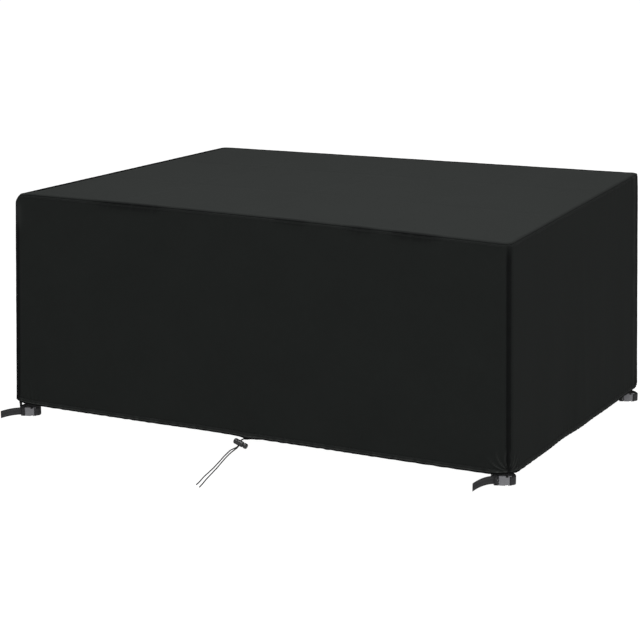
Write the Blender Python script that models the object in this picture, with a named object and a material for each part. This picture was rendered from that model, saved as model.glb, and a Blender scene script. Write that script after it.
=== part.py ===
"""Fitted rectangular cover for patio furniture.

Five cloth panels meet in piped seams. The turned hem holds a drawcord, whose two free ends leave it at
the middle of the front and pass through a barrel cord lock. A webbing strap with a side-release buckle
hangs under the hem at each corner, to close round a furniture leg.

Frame: metres, +X to the right along the front, +Y to the back, +Z up. The origin is the middle of the
underside of the top panel, where it lies on the furniture.
"""

import math

import bmesh
import bpy
from mathutils import Matrix, Vector

MM = 0.001

# Driving dimensions of the cover.
HALF_WIDTH = 850 * MM
HALF_DEPTH = 640 * MM
DROP = 712 * MM                 # from the middle of the top's cloth down to the even hem line
CLOTH = 2 * MM
TOP_MIDDLE = CLOTH / 2          # height of the middle of the top's cloth
HEM_LINE = TOP_MIDDLE - DROP
FLOOR = -788 * MM
GAP = 0.4 * MM                  # between pieces that are sewn or lie together

# Seams.
CORNER_RADIUS = 26 * MM         # of the upright corners, in plan
EDGE_ROLL = 14 * MM             # radius of the soft edge round the top
WELT_RADIUS = 3.5 * MM
WELT_SIDES = 8
WELT_FLAT = WELT_RADIUS * math.cos(math.pi / WELT_SIDES)
SEAM_STEP = WELT_FLAT + GAP     # from a welt's middle to the cloth's cut edge
WELT_ABOVE_HEM = 2 * MM

# How the cloth hangs: every corner of the box stands a little off its place, as (x, y, z).
TOP_OFFSETS = {
    "fl": (0, 6 * MM, 0),
    "fr": (11 * MM, -3 * MM, -17 * MM),
    "br": (-19 * MM, -4 * MM, 18 * MM),
    "bl": (16 * MM, 10 * MM, 5 * MM),
}
HEM_OFFSETS = {
    "fl": (-13 * MM, -18 * MM, 12 * MM),
    "fr": (20 * MM, 18 * MM, 12 * MM),
    "br": (12 * MM, -5 * MM, -24 * MM),
    "bl": (-12 * MM, 10 * MM, -8 * MM),
}
SHOULDER = Vector((-13 * MM, 0, 0))     # the walls stand out at the front left, under the edge of the top
SHOULDER_DEPTH = 32 * MM
FRONT_BOW = 6 * MM              # the middle of the top's front edge stands higher than its ends
CORNER_SIGNS = {"fl": (-1, -1), "fr": (1, -1), "br": (1, 1), "bl": (-1, 1)}
CORNER_LIFT = 9 * MM            # the straps pull the hem up at each corner
LIFT_REACH = 38 * MM
LIFT_HEIGHT = 150 * MM
WAVE_AT_HEM = 4.5 * MM
WAVE_AT_TOP = 1.0 * MM
TOP_WAVE = 2.0 * MM

# Rows of a side panel: height above its hem line, and the cloth outside and inside its middle there.
HEM_ROWS = (
    {"height": 0 * MM, "outside": 1.8 * MM, "inside": 1.2 * MM},
    {"height": 4 * MM, "outside": 3.4 * MM, "inside": 1.6 * MM},
    {"height": 13 * MM, "outside": 3.4 * MM, "inside": 1.6 * MM},
    {"height": 17 * MM, "outside": 1.4 * MM, "inside": 1.0 * MM},
    {"height": 24 * MM, "outside": 1.0 * MM, "inside": 1.0 * MM},
)
WALL_ROWS = 6
SIDE_COLUMNS = {"front": 20, "right": 15, "back": 20, "left": 15}
SIDE_ENDS = {
    "front": ("fl", "fr"),
    "right": ("fr", "br"),
    "back": ("br", "bl"),
    "left": ("bl", "fl"),
}
SIDE_NORMALS = {"front": (0, -1), "right": (1, 0), "back": (0, 1), "left": (-1, 0)}
SIDE_PHASES = {"front": 1.6, "right": 2.1, "back": 3.9, "left": 5.2}
TOP_RINGS = (0.92, 0.70, 0.40)  # inner rings of the top panel, as shares of its flat

# Straps and buckles. Their plans are drawn along the buckle (along) and out of its face (out), from the
# point where the buckle's back meets the leg's corner.
STRAP_TURN = math.radians(21)   # the buckle faces 21 degrees towards +X from the front
WEBBING = 25 * MM
WEBBING_THICKNESS = 1.6 * MM
LEG = 34 * MM
STRAP_PLACES = {                # the leg's corner behind each buckle, and the strap's middle height
    "fl": (-825 * MM, -633 * MM, -729 * MM),
    "fr": (847 * MM, -601 * MM, -717 * MM),
    "br": (843 * MM, 584 * MM, -766 * MM),
    "bl": (-820 * MM, 608 * MM, -749 * MM),
}
TAIL_DROOP = {"fl": 5 * MM, "fr": 14 * MM, "br": 3 * MM, "bl": 8 * MM}
DOUBLED_END = ((24.2, 1.5), (19.5, 2.2), (15.4, 2.6), (13.3, 4.2), (13.3, 6.8), (15.0, 8.3), (18.4, 8.2))
LEG_LOOP = (
    (22.6, 6.5), (26.8, 3.4), (29.4, -1.2), (30.0, -7.5), (28.3, -17.5), (23.6, -29.0), (16.6, -39.4),
    (7.0, -47.2), (-4.0, -50.4), (-14.0, -51.2), (-24.5, -50.2), (-32.0, -45.6), (-36.8, -36.5),
    (-39.0, -25.0), (-39.3, -13.0), (-38.0, -5.0), (-35.4, -0.6), (-31.6, 1.1),
)
LADDER_WEAVE = (
    (-24.2, 1.1), (-22.5, 2.8), (-22.5, 6.6), (-24.0, 8.1), (-27.8, 8.1), (-29.1, 6.6), (-29.05, 4.6),
    (-30.7, 3.1),
)
TAIL = ((-33.7, 3.1), (-38.5, 3.9), (-47.0, 6.4), (-57.0, 10.4), (-67.0, 15.6), (-77.0, 22.2),
        (-86.0, 29.4), (-93.0, 36.0))
LOOP_SUBSTEPS = 2

# Tabs that hang the straps: where each is sewn to its strap and which way it faces there, its place
# inside the even box, the way it faces there (none keeps the strap's way), and the heights above the hem
# line between which it lies on the cloth.
TAB_LAP = 20 * MM
TAB_STEPS = 14
TAB_LAID_STEPS = 5
TABS = {
    "fl": {"strap_point": (-41.3, -24.0), "strap_faces": (-1, 0), "inside": (-841.3 * MM, -617.0 * MM),
           "faces": None, "heights": (-2 * MM, 62 * MM)},
    "fr": {"strap_point": (-41.3, -19.0), "strap_faces": (-1, 0), "inside": (806.0 * MM, -636.5 * MM),
           "faces": (0, -1), "heights": (78 * MM, 106 * MM)},
    "br": {"strap_point": (-13.0, -47.4), "strap_faces": (0, -1), "inside": (808.0 * MM, 635.7 * MM),
           "faces": (0, 1), "heights": (-3 * MM, 62 * MM)},
    "bl": {"strap_point": (-41.3, -19.0), "strap_faces": (-1, 0), "inside": (-845.7 * MM, 598.0 * MM),
           "faces": (-1, 0), "heights": (-3 * MM, 62 * MM)},
}

# Drawcord and cord lock.
CORD_RADIUS = 1.9 * MM
CORD_SPREAD = 2.05 * MM         # each strand's distance from the middle of the lock's hole
LOCK_TILT = math.radians(18.6)  # the button end hangs lower
HOLE_TILT = math.radians(20)    # the strands leave the lock a little forwards
LOCK_MIDDLE = Vector((-12.6 * MM, -645 * MM, -720 * MM))
BARREL_RADIUS = 9.2 * MM
BORE_RADIUS = 6.7 * MM
STEM_RADIUS = 6.2 * MM
BUTTON_TRAVEL = 3.5 * MM
HOLE_PLACE = -3 * MM            # along the lock, from its middle
HOLE_ACROSS = 9.2 * MM
HOLE_ALONG = 5 * MM
LOCK_SIDES = 16

# Routes of the two strands, from the hem, through the lock and over the floor to the cut end, in mm.
CORD_ROUTES = {
    "drawcord_left": (
        (3.4, -640.4, -701.1), (-1.6, -640.8, -703.5), (-6.4, -641.5, -705.6), (-10.2, -642.6, -708.1),
        (-12.9, -644.3, -711.6), (-15.2, -646.9, -718.4), (-17.5, -649.5, -725.2), (-22.0, -652.9, -731.0),
        (-29.5, -656.4, -735.4), (-38.8, -661.4, -740.5), (-47.0, -669.0, -749.6),
        (-54.6, -678.6, -760.0), (-61.4, -690.6, -771.6), (-65.6, -705.6, -780.6),
        (-65.4, -723.6, -785.4), (-61.2, -746.6, -786.1), (-56.2, -769.0, -786.1),
        (-51.8, -792.0, -786.1), (-46.8, -813.0, -786.1), (-40.6, -834.6, -786.1),
        (-34.6, -857.0, -786.1), (-30.2, -878.3, -786.1),
    ),
    "drawcord_right": (
        (20.5, -640.4, -701.2), (14.0, -639.8, -703.0), (7.2, -638.4, -704.8), (0.6, -637.5, -705.8),
        (-5.6, -637.4, -706.6), (-10.6, -638.4, -709.2), (-13.3, -640.5, -712.9), (-15.6, -643.1, -719.7),
        (-17.9, -645.7, -726.5), (-22.0, -649.3, -733.4), (-29.6, -654.2, -740.6),
        (-38.4, -662.2, -749.2), (-47.4, -672.8, -760.8), (-54.6, -684.8, -772.6),
        (-58.2, -699.4, -781.8), (-56.6, -716.6, -785.9), (-51.2, -739.0, -786.1),
        (-44.0, -766.6, -786.1), (-37.0, -794.3, -786.1), (-30.6, -819.6, -786.1),
        (-23.2, -844.8, -786.1), (-16.2, -869.4, -786.1), (-10.1, -893.7, -786.1),
    ),
}
CORD_FINE_LENGTH = 62 * MM      # the bent stretch by the lock has closer points
CORD_FINE_STEP = 4.6 * MM
CORD_STEP = 11.4 * MM


# ---------------------------------------------------------------- materials

def material(name, colour, roughness, metallic=0.0):
    """Return a Principled material."""
    made = bpy.data.materials.new(name)
    made.use_nodes = True
    shader = made.node_tree.nodes["Principled BSDF"]
    shader.inputs["Base Color"].default_value = (*colour, 1.0)
    shader.inputs["Roughness"].default_value = roughness
    shader.inputs["Metallic"].default_value = metallic
    return made


def make_materials():
    """Return the cover's materials by name."""
    return {
        "cloth": material("coated_cloth", (0.013, 0.015, 0.014), 0.6),
        "welt": material("welt_tape", (0.007, 0.008, 0.008), 0.65),
        "webbing": material("webbing", (0.012, 0.012, 0.012), 0.8),
        "socket": material("buckle_grey", (0.17, 0.17, 0.19), 0.35),
        "clip": material("buckle_black", (0.012, 0.012, 0.013), 0.4),
        "cord": material("cord", (0.016, 0.016, 0.016), 0.8),
        "lock": material("lock_plastic", (0.022, 0.022, 0.023), 0.35),
    }


# ---------------------------------------------------------------- meshes

def add_object(name, points, faces, dress):
    """Add a closed mesh object of triangles whose faces point outwards."""
    mesh = bpy.data.meshes.new(name)
    mesh.from_pydata([tuple(point) for point in points], [], faces)
    shell = bmesh.new()
    shell.from_mesh(mesh)
    bmesh.ops.triangulate(shell, faces=shell.faces)
    bmesh.ops.recalc_face_normals(shell, faces=shell.faces)
    shell.to_mesh(mesh)
    shell.free()
    mesh.materials.append(dress)
    made = bpy.data.objects.new(name, mesh)
    bpy.context.collection.objects.link(made)
    return made


def add_sections(name, sections, dress, closed=False):
    """Skin a row of equal closed sections, capped at both ends unless the row closes on itself."""
    sides = len(sections[0])
    count = len(sections)
    points = [point for section in sections for point in section]
    faces = []
    for row in range(count if closed else count - 1):
        here = row * sides
        there = (row + 1) % count * sides
        for side in range(sides):
            after = (side + 1) % sides
            faces.append((here + side, here + after, there + after, there + side))
    if not closed:
        faces.append(tuple(range(sides)))
        faces.append(tuple(range((count - 1) * sides, count * sides)))
    return add_object(name, points, faces, dress)


def add_sheet(name, outer, inner, dress):
    """Close two equal grids of points, the cloth's outer and inner faces, into one sheet."""
    columns = len(outer)
    rows = len(outer[0])
    points = [point for grid in (outer, inner) for column in grid for point in column]
    inner_start = columns * rows
    faces = []
    for column in range(columns - 1):
        for row in range(rows - 1):
            corner = column * rows + row
            quad = (corner, corner + rows, corner + rows + 1, corner + 1)
            faces.append(quad)
            faces.append(tuple(inner_start + index for index in reversed(quad)))
    rim = [column * rows for column in range(columns)]
    rim += [(columns - 1) * rows + row for row in range(1, rows)]
    rim += [column * rows + rows - 1 for column in reversed(range(columns - 1))]
    rim += list(reversed(range(1, rows - 1)))
    for index, corner in enumerate(rim):
        after = rim[(index + 1) % len(rim)]
        faces.append((corner, after, inner_start + after, inner_start + corner))
    return add_object(name, points, faces, dress)


def smooth_row(points, substeps):
    """Return points on a Catmull-Rom curve through the given ones."""
    padded = [points[0] * 2 - points[1], *points, points[-1] * 2 - points[-2]]
    smooth = []
    for index in range(1, len(padded) - 2):
        before, start, end, after = padded[index - 1:index + 3]
        for step in range(substeps):
            t = step / substeps
            smooth.append(0.5 * (2 * start + (end - before) * t
                                 + (2 * before - 5 * start + 4 * end - after) * t ** 2
                                 + (3 * start - before - 3 * end + after) * t ** 3))
    smooth.append(points[-1].copy())
    return smooth


# ---------------------------------------------------------------- the box of cloth

def box_weights(x, y):
    """Return each corner's share of its offset at a place in plan."""
    right = 0.5 + 0.5 * x / HALF_WIDTH
    back = 0.5 + 0.5 * y / HALF_DEPTH
    return {
        "fl": (1 - right) * (1 - back),
        "fr": right * (1 - back),
        "br": right * back,
        "bl": (1 - right) * back,
    }


def corner_lift(x, y, height):
    """Return how far the hem is drawn up near a corner, less further up the wall."""
    away = math.hypot(HALF_WIDTH - abs(x), HALF_DEPTH - abs(y))
    fade = max(0.0, 1 - height / LIFT_HEIGHT)
    return CORNER_LIFT * math.exp(-(away / LIFT_REACH) ** 2) * fade


def hang(x, y, z):
    """Move a point of the even box to where the cloth hangs."""
    height = z - HEM_LINE
    share_up = height / DROP
    weights = box_weights(x, y)
    bow = FRONT_BOW * share_up * (weights["fl"] + weights["fr"]) ** 2 * math.cos(math.pi / 2 * x / HALF_WIDTH)
    moved = Vector((x, y, z + corner_lift(x, y, height) + bow))
    for corner, weight in weights.items():
        moved += weight * share_up * Vector(TOP_OFFSETS[corner])
        moved += weight * (1 - share_up) * Vector(HEM_OFFSETS[corner])
    below = min(1.0, max(0.0, (DROP - height) / SHOULDER_DEPTH))
    return moved + SHOULDER * weights["fl"] * below * below * (3 - 2 * below)


def corner_arc(corner, angle):
    """Return a plan point and its outward normal on a corner's arc."""
    sign_x, sign_y = CORNER_SIGNS[corner]
    normal = Vector((math.cos(angle), math.sin(angle)))
    middle = Vector((sign_x * (HALF_WIDTH - TOP_MIDDLE - CORNER_RADIUS),
                     sign_y * (HALF_DEPTH - TOP_MIDDLE - CORNER_RADIUS)))
    return middle + CORNER_RADIUS * normal, normal


def seam_angle(corner):
    """Return the direction of a corner's welt, seen from above."""
    sign_x, sign_y = CORNER_SIGNS[corner]
    return math.atan2(sign_y, sign_x)


def side_outline(side):
    """Return the stations (plan point, normal) from one corner seam of a side to the next."""
    start, end = SIDE_ENDS[side]
    facing = math.atan2(SIDE_NORMALS[side][1], SIDE_NORMALS[side][0])
    eighth = math.pi / 8
    stations = [corner_arc(start, facing - 2 * eighth), corner_arc(start, facing - eighth)]
    first, normal = corner_arc(start, facing)
    last = corner_arc(end, facing)[0]
    columns = SIDE_COLUMNS[side]
    stations += [(first.lerp(last, index / columns), normal) for index in range(columns + 1)]
    stations += [corner_arc(end, facing + eighth), corner_arc(end, facing + 2 * eighth)]
    return stations


def rolled(station, angle):
    """Return a point and its normal on the soft top edge; the angle runs from the wall to the top."""
    point, normal = station
    inward = EDGE_ROLL * (1 - math.cos(angle))
    down = EDGE_ROLL * (1 - math.sin(angle))
    plan = point - normal * inward
    facing = Vector((*(normal * math.cos(angle)), math.sin(angle)))
    return Vector((*plan, TOP_MIDDLE - down)), facing


def up_the_roll(normal, angle):
    """Return the direction in the cloth that leads over the edge to the top."""
    return Vector((*(-normal * math.sin(angle)), math.cos(angle)))


def wave(side, across, height):
    """Return how far a side panel stands out of true; across runs from 0 to 1 along its flat."""
    if not 0 < across < 1:
        return 0.0
    phase = SIDE_PHASES[side]
    share_up = min(1.0, max(0.0, height / DROP))
    size = WAVE_AT_TOP + (WAVE_AT_HEM - WAVE_AT_TOP) * (1 - share_up) ** 2
    shape = (0.5 * math.sin(2 * math.pi * 1.3 * across + phase + 1.2 * share_up)
             + 0.3 * math.sin(2 * math.pi * 3.1 * across + 2 * phase - 2.0 * share_up)
             + 0.2 * math.sin(2 * math.pi * 4.7 * across + 3 * phase))
    window = math.sin(math.pi * across) ** 0.8 * math.cos(math.pi / 2 * share_up) ** 0.5
    return size * shape * window


def wall_heights():
    """Return the heights of a side panel's plain rows, from above the hem to the soft edge."""
    low = HEM_ROWS[-1]["height"]
    high = DROP - EDGE_ROLL
    return [low + (high - low) * (step / WALL_ROWS) ** 0.9 for step in range(1, WALL_ROWS + 1)]


def side_rows():
    """Return a side panel's rows: height or roll angle, and the cloth outside and inside."""
    rows = [dict(row, roll=None) for row in HEM_ROWS]
    for height in wall_heights():
        rows.append({"height": height, "outside": CLOTH / 2, "inside": CLOTH / 2, "roll": None})
    for angle in (math.pi / 8, math.pi / 4):
        rows.append({"height": DROP, "outside": CLOTH / 2, "inside": CLOTH / 2, "roll": angle})
    return rows


def side_point(side, station, row, across):
    """Return the middle of the cloth and its normal at one station and row of a side panel."""
    if row["roll"] is None:
        point, normal = station
        middle = Vector((*point, HEM_LINE + row["height"]))
        return middle, Vector((*normal, 0)), wave(side, across, row["height"])
    middle, facing = rolled(station, row["roll"])
    return middle, facing, 0.0


def make_side(side, dress):
    """Make one side panel with its hem, from seam to seam."""
    stations = side_outline(side)
    last = len(stations) - 1
    rows = side_rows()
    outer, inner = [], []
    for index, station in enumerate(stations):
        normal = station[1]
        along = Vector((-normal.y, normal.x, 0))
        column_outer, column_inner = [], []
        for row in rows:
            middle, facing, bulge = side_point(side, station, row, (index - 2) / (last - 4))
            if index in (0, last):
                middle += along * (SEAM_STEP if index == 0 else -SEAM_STEP)
            if row is rows[-1]:
                middle -= up_the_roll(normal, row["roll"]) * SEAM_STEP
            placed = hang(*middle)
            column_outer.append(placed + facing * (row["outside"] + bulge))
            column_inner.append(placed + facing * (bulge - row["inside"]))
        outer.append(column_outer)
        inner.append(column_inner)
    return add_sheet(f"{side}_panel", outer, inner, dress)


def top_outline():
    """Return the stations right round the top, each seam corner once."""
    stations = []
    for side in ("front", "right", "back", "left"):
        stations += side_outline(side)[:-1]
    return stations


def make_top(dress):
    """Make the top panel: its soft edge, and rings towards a flat middle."""
    stations = top_outline()
    flat_edge = [rolled(station, math.pi / 2)[0] for station in stations]
    rings = []
    for angle in (math.pi / 4, 3 * math.pi / 8, math.pi / 2):
        ring = []
        for station in stations:
            middle, facing = rolled(station, angle)
            if angle == math.pi / 4:
                middle += up_the_roll(station[1], angle) * SEAM_STEP
            ring.append((hang(*middle), facing))
        rings.append(ring)
    for share in TOP_RINGS:
        ring = []
        for edge in flat_edge:
            middle = hang(edge.x * share, edge.y * share, edge.z)
            sag = TOP_WAVE * (1 - share) * math.sin(5.2 * middle.x + 0.6) * math.cos(4.1 * middle.y)
            ring.append((middle + Vector((0, 0, sag)), Vector((0, 0, 1))))
        rings.append(ring)
    half = CLOTH / 2
    count = len(stations)
    points = [place + facing * half for ring in rings for place, facing in ring]
    points += [place - facing * half for ring in rings for place, facing in ring]
    under = len(rings) * count
    faces = []
    for ring in range(len(rings) - 1):
        for index in range(count):
            after = (index + 1) % count
            quad = (ring * count + index, ring * count + after,
                    (ring + 1) * count + after, (ring + 1) * count + index)
            faces.append(quad)
            faces.append(tuple(under + corner for corner in reversed(quad)))
    inmost = (len(rings) - 1) * count
    faces.append(tuple(range(inmost, inmost + count)))
    faces.append(tuple(under + corner for corner in reversed(range(inmost, inmost + count))))
    faces += [(index, under + index, under + (index + 1) % count, (index + 1) % count)
              for index in range(count)]
    return add_object("top_panel", points, faces, dress)


def welt_section(middle, facing, across):
    """Return a welt's section, with flats towards the cloth on both sides and outwards."""
    section = []
    for side in range(WELT_SIDES):
        angle = math.pi * (2 * side + 1) / WELT_SIDES
        section.append(middle + WELT_RADIUS * (facing * math.cos(angle) + across * math.sin(angle)))
    return section


def make_top_welt(dress):
    """Make the piped seam that runs right round the top."""
    sections = []
    for station in top_outline():
        middle, facing = rolled(station, math.pi / 4)
        sections.append(welt_section(hang(*middle), facing, up_the_roll(station[1], math.pi / 4)))
    return add_sections("top_welt", sections, dress, closed=True)


def make_corner_welt(corner, dress):
    """Make the piped seam of one upright corner, from the hem to just under the top welt."""
    station = corner_arc(corner, seam_angle(corner))
    normal = station[1]
    across = Vector((-normal.y, normal.x, 0))
    sections = []
    heights = [WELT_ABOVE_HEM] + [row["height"] for row in HEM_ROWS[2:]] + wall_heights()
    for height in heights:
        middle = hang(*station[0], HEM_LINE + height)
        sections.append(welt_section(middle, Vector((*normal, 0)), across))
    for angle in (math.pi / 8, math.pi / 4):
        middle, facing = rolled(station, angle)
        if angle == math.pi / 4:
            middle -= up_the_roll(normal, angle) * SEAM_STEP
        sections.append(welt_section(hang(*middle), facing, across))
    return add_sections(f"welt_{corner}", sections, dress)


# ---------------------------------------------------------------- straps

def strap_axes():
    """Return the directions along the buckle and out of its face."""
    along = Vector((math.cos(STRAP_TURN), math.sin(STRAP_TURN), 0))
    out = Vector((math.sin(STRAP_TURN), -math.cos(STRAP_TURN), 0))
    return along, out


def strap_point(corner, along_mm, out_mm, height=0.0):
    """Return a place given in one strap's own plan."""
    along, out = strap_axes()
    return Vector(STRAP_PLACES[corner]) + (along * along_mm + out * out_mm) * MM + Vector((0, 0, height))


def ribbon_sections(points, widths, thickness):
    """Return the four-cornered sections of webbing along points, with its width directions."""
    sections = []
    last = len(points) - 1
    for index, (point, width) in enumerate(zip(points, widths)):
        before = (point - points[index - 1]).normalized() if index else None
        after = (points[index + 1] - point).normalized() if index < last else None
        ahead = ((before or after) + (after or before)).normalized()
        half_turn = math.cos(0.5 * before.angle(after)) if before and after else 1.0
        through = ahead.cross(width).normalized() * (thickness / 2 / half_turn)
        edge = width * (WEBBING / 2)
        sections.append([point - edge - through, point + edge - through,
                         point + edge + through, point - edge + through])
    return sections


def make_leg_strap(corner, dress):
    """Make one leg strap: doubled end, loop for the leg, weave through the clip, and free tail."""
    loop = smooth_row([Vector((*pair, 0)) for pair in (DOUBLED_END[-1], *LEG_LOOP)], LOOP_SUBSTEPS)
    plan = [Vector((*pair, 0)) for pair in DOUBLED_END[:-1]] + loop
    plan += [Vector((*pair, 0)) for pair in LADDER_WEAVE + TAIL]
    tail_start = TAIL[0][0]
    tail_end = TAIL[-1][0]
    points = []
    for place in plan:
        share = max(0.0, (place.x - tail_start) / (tail_end - tail_start)) if place.y > 2 else 0.0
        points.append(strap_point(corner, place.x, place.y, -TAIL_DROOP[corner] * share ** 2))
    upright = [Vector((0, 0, 1))] * len(points)
    return add_sections(f"leg_strap_{corner}", ribbon_sections(points, upright, WEBBING_THICKNESS), dress)


def make_tab(corner, dress):
    """Make the webbing tab from the strap up inside the hem to the cloth it is sewn to."""
    tab = TABS[corner]
    along, out = strap_axes()
    low_faces = along * tab["strap_faces"][0] + out * tab["strap_faces"][1]
    high_faces = Vector((*tab["faces"], 0)) if tab["faces"] else low_faces
    low = strap_point(corner, *tab["strap_point"])
    meets, ends = tab["heights"]
    points = [low + Vector((0, 0, WEBBING / 2 - TAB_LAP)), low + Vector((0, 0, WEBBING / 2 + MM))]
    faces = [low_faces, low_faces]
    high = hang(*tab["inside"], HEM_LINE + meets)
    for step in range(1, TAB_STEPS):
        share = step / TAB_STEPS
        eased = share * share * (3 - 2 * share)
        place = low.lerp(high, eased)
        place.z = points[1].z + (high.z - points[1].z) * share
        points.append(place)
        faces.append(low_faces.lerp(high_faces, eased).normalized())
    for step in range(TAB_LAID_STEPS):
        height = meets + (ends - meets) * step / (TAB_LAID_STEPS - 1)
        points.append(hang(*tab["inside"], HEM_LINE + height))
        faces.append(high_faces)
    widths = [Vector((-facing.y, facing.x, 0)) for facing in faces]
    return add_sections(f"strap_tab_{corner}", ribbon_sections(points, widths, WEBBING_THICKNESS), dress)


# ---------------------------------------------------------------- buckles

def block(low, high, chamfer=0.0):
    """Return a box mesh object between two corners in mm, its edges chamfered if asked."""
    shell = bmesh.new()
    size = Vector(high) - Vector(low)
    middle = (Vector(high) + Vector(low)) / 2
    bmesh.ops.create_cube(shell, size=1.0, matrix=Matrix.Translation(middle) @ Matrix.Diagonal((*size, 1)))
    if chamfer:
        bmesh.ops.bevel(shell, geom=shell.edges[:], offset=chamfer, segments=1, affect="EDGES")
    mesh = bpy.data.meshes.new("block")
    shell.to_mesh(mesh)
    shell.free()
    made = bpy.data.objects.new("block", mesh)
    bpy.context.collection.objects.link(made)
    return made


def cut_and_join(base, joins, cuts):
    """Return the mesh of a block with others joined to it and cut from it."""
    for operation, others in (("UNION", joins), ("DIFFERENCE", cuts)):
        for other in others:
            modifier = base.modifiers.new(operation.lower(), "BOOLEAN")
            modifier.operation = operation
            modifier.object = other
    bpy.context.view_layer.update()
    graph = bpy.context.evaluated_depsgraph_get()
    mesh = bpy.data.meshes.new_from_object(base.evaluated_get(graph))
    for used in (base, *joins, *cuts):
        bpy.data.objects.remove(used)
    return mesh


def mirrored_blocks(low, high):
    """Return a block above the buckle's middle and its mirror image below."""
    flipped_low = (low[0], low[1], -high[2])
    flipped_high = (high[0], high[1], -low[2])
    return [block(low, high), block(flipped_low, flipped_high)]


def socket_mesh():
    """Return the buckle's socket in mm: x along it, y out of its face, z up."""
    body = block((-18.2, 1.2, -14.6), (11.6, 10.8, 14.6), chamfer=1.3)
    rails = mirrored_blocks((10.0, 3.4, 12.9), (18.2, 7.6, 14.4))
    bar = block((15.6, 4.3, -13.4), (18.1, 6.9, 13.4))
    cavity = block((-20.0, 3.2, -11.9), (8.6, 8.6, 11.9))
    notches = mirrored_blocks((0.6, -1.0, 10.4), (8.6, 13.0, 16.0))
    return cut_and_join(body, [*rails, bar], [cavity, *notches])


def clip_mesh():
    """Return the buckle's clip in mm: ladder frame, two spring arms with hooks, and a guide."""
    frame = block((-33.4, 3.3, -15.2), (-18.6, 8.3, 15.2), chamfer=0.9)
    arms = mirrored_blocks((-19.4, 4.0, 8.4), (4.0, 7.8, 11.2))
    hooks = mirrored_blocks((1.2, 3.8, 8.4), (7.8, 8.0, 13.6))
    guide = block((-19.4, 4.9, -1.8), (2.0, 6.9, 1.8))
    outer_slot = block((-30.8, -1.0, -12.9), (-27.3, 12.0, 12.9))
    inner_slot = block((-24.5, -1.0, -12.9), (-21.0, 12.0, 12.9))
    under_bars = block((-35.0, -1.0, -12.9), (-21.0, 4.6, 12.9))
    over_bars = block((-35.0, 6.9, -12.9), (-21.0, 12.0, 12.9))
    return cut_and_join(frame, [*arms, *hooks, guide], [outer_slot, inner_slot, under_bars, over_bars])


def place_buckle(kind, mesh, corner, dress):
    """Place one piece of a corner's buckle, with its own object on the shared shape."""
    along, out = strap_axes()
    turn = Matrix((along, out, (0, 0, 1))).transposed().to_4x4()
    shape = mesh.copy()
    shape.transform(Matrix.Translation(STRAP_PLACES[corner]) @ turn @ Matrix.Scale(MM, 4))
    shell = bmesh.new()
    shell.from_mesh(shape)
    bmesh.ops.recalc_face_normals(shell, faces=shell.faces)
    shell.to_mesh(shape)
    shell.free()
    shape.materials.clear()
    shape.materials.append(dress)
    made = bpy.data.objects.new(f"buckle_{kind}_{corner}", shape)
    bpy.context.collection.objects.link(made)
    return made


# ---------------------------------------------------------------- drawcord and lock

def lock_axes():
    """Return the lock's own directions: along it, along its hole, and across both."""
    along = Vector((math.cos(LOCK_TILT), 0, -math.sin(LOCK_TILT)))
    down = Vector((-math.sin(LOCK_TILT), 0, -math.cos(LOCK_TILT)))
    front = Vector((0, -1, 0))
    hole = down * math.cos(HOLE_TILT) + front * math.sin(HOLE_TILT)
    return along, hole, along.cross(hole)


def lock_frame():
    """Return the matrix from the lock's own axes (x along it, y along its hole) to the cover."""
    turn = Matrix(lock_axes()).transposed().to_4x4()
    return Matrix.Translation(LOCK_MIDDLE) @ turn


def turned(name, profile, dress):
    """Turn a profile of (along, radius) pairs in mm about the lock's axis."""
    ends = (profile[0][0], profile[-1][0])
    rims = profile[1:-1]
    points = [Vector((ends[0] * MM, 0, 0))]
    for along, radius in rims:
        for side in range(LOCK_SIDES):
            angle = 2 * math.pi * side / LOCK_SIDES
            points.append(Vector((along, radius * math.cos(angle), radius * math.sin(angle))) * MM)
    points.append(Vector((ends[1] * MM, 0, 0)))
    faces = []
    for side in range(LOCK_SIDES):
        after = (side + 1) % LOCK_SIDES
        faces.append((0, 1 + side, 1 + after))
        for rim in range(len(rims) - 1):
            here = 1 + rim * LOCK_SIDES
            there = here + LOCK_SIDES
            faces.append((here + side, there + side, there + after, here + after))
        outmost = 1 + (len(rims) - 1) * LOCK_SIDES
        faces.append((len(points) - 1, outmost + after, outmost + side))
    return add_object(name, points, faces, dress)


def cord_window(low, high):
    """Return a cutter for the strands' hole, from low to high along the lock."""
    half = HOLE_ACROSS / 2
    cutter = block((low, -2 * BARREL_RADIUS, -half), (high, 2 * BARREL_RADIUS, half))
    cutter.name = "cord_window"
    return cutter


def make_lock_piece(name, profile, window, dress):
    """Turn one piece of the lock, cut the strands' hole through it and put it in place."""
    piece = turned(name, profile, dress)
    mesh = cut_and_join(piece, [], [window])
    mesh.transform(lock_frame())
    made = bpy.data.objects.new(name, mesh)
    bpy.context.collection.objects.link(made)
    return made


def make_lock(dress):
    """Make the lock's barrel, with its bore, and the button whose stem slides in it."""
    bore = BORE_RADIUS / MM
    stem = STEM_RADIUS / MM
    outer = BARREL_RADIUS / MM
    barrel = ((-24, 0), (-24, 5.2), (-22.4, 8.0), (-19.6, outer), (-15.4, outer), (-14.4, outer - 0.9),
              (-12.8, outer - 0.9), (-11.8, outer), (6.2, outer), (8.6, outer - 0.7), (9, outer - 1.4),
              (9, bore), (-20, bore), (-20, 0))
    button = ((-16, 0), (-16, stem), (13, stem), (13, 8.0), (13.8, 8.7), (20.6, 8.7), (23.2, 7.0),
              (24, 4.4), (24, 0))
    half_hole = HOLE_ALONG / 2
    fixed_window = cord_window(HOLE_PLACE - half_hole, HOLE_PLACE + half_hole)
    moving_window = cord_window(HOLE_PLACE - half_hole, HOLE_PLACE + half_hole + BUTTON_TRAVEL)
    make_lock_piece("cord_lock_barrel", barrel, fixed_window, dress)
    make_lock_piece("cord_lock_button", button, moving_window, dress)


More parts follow.
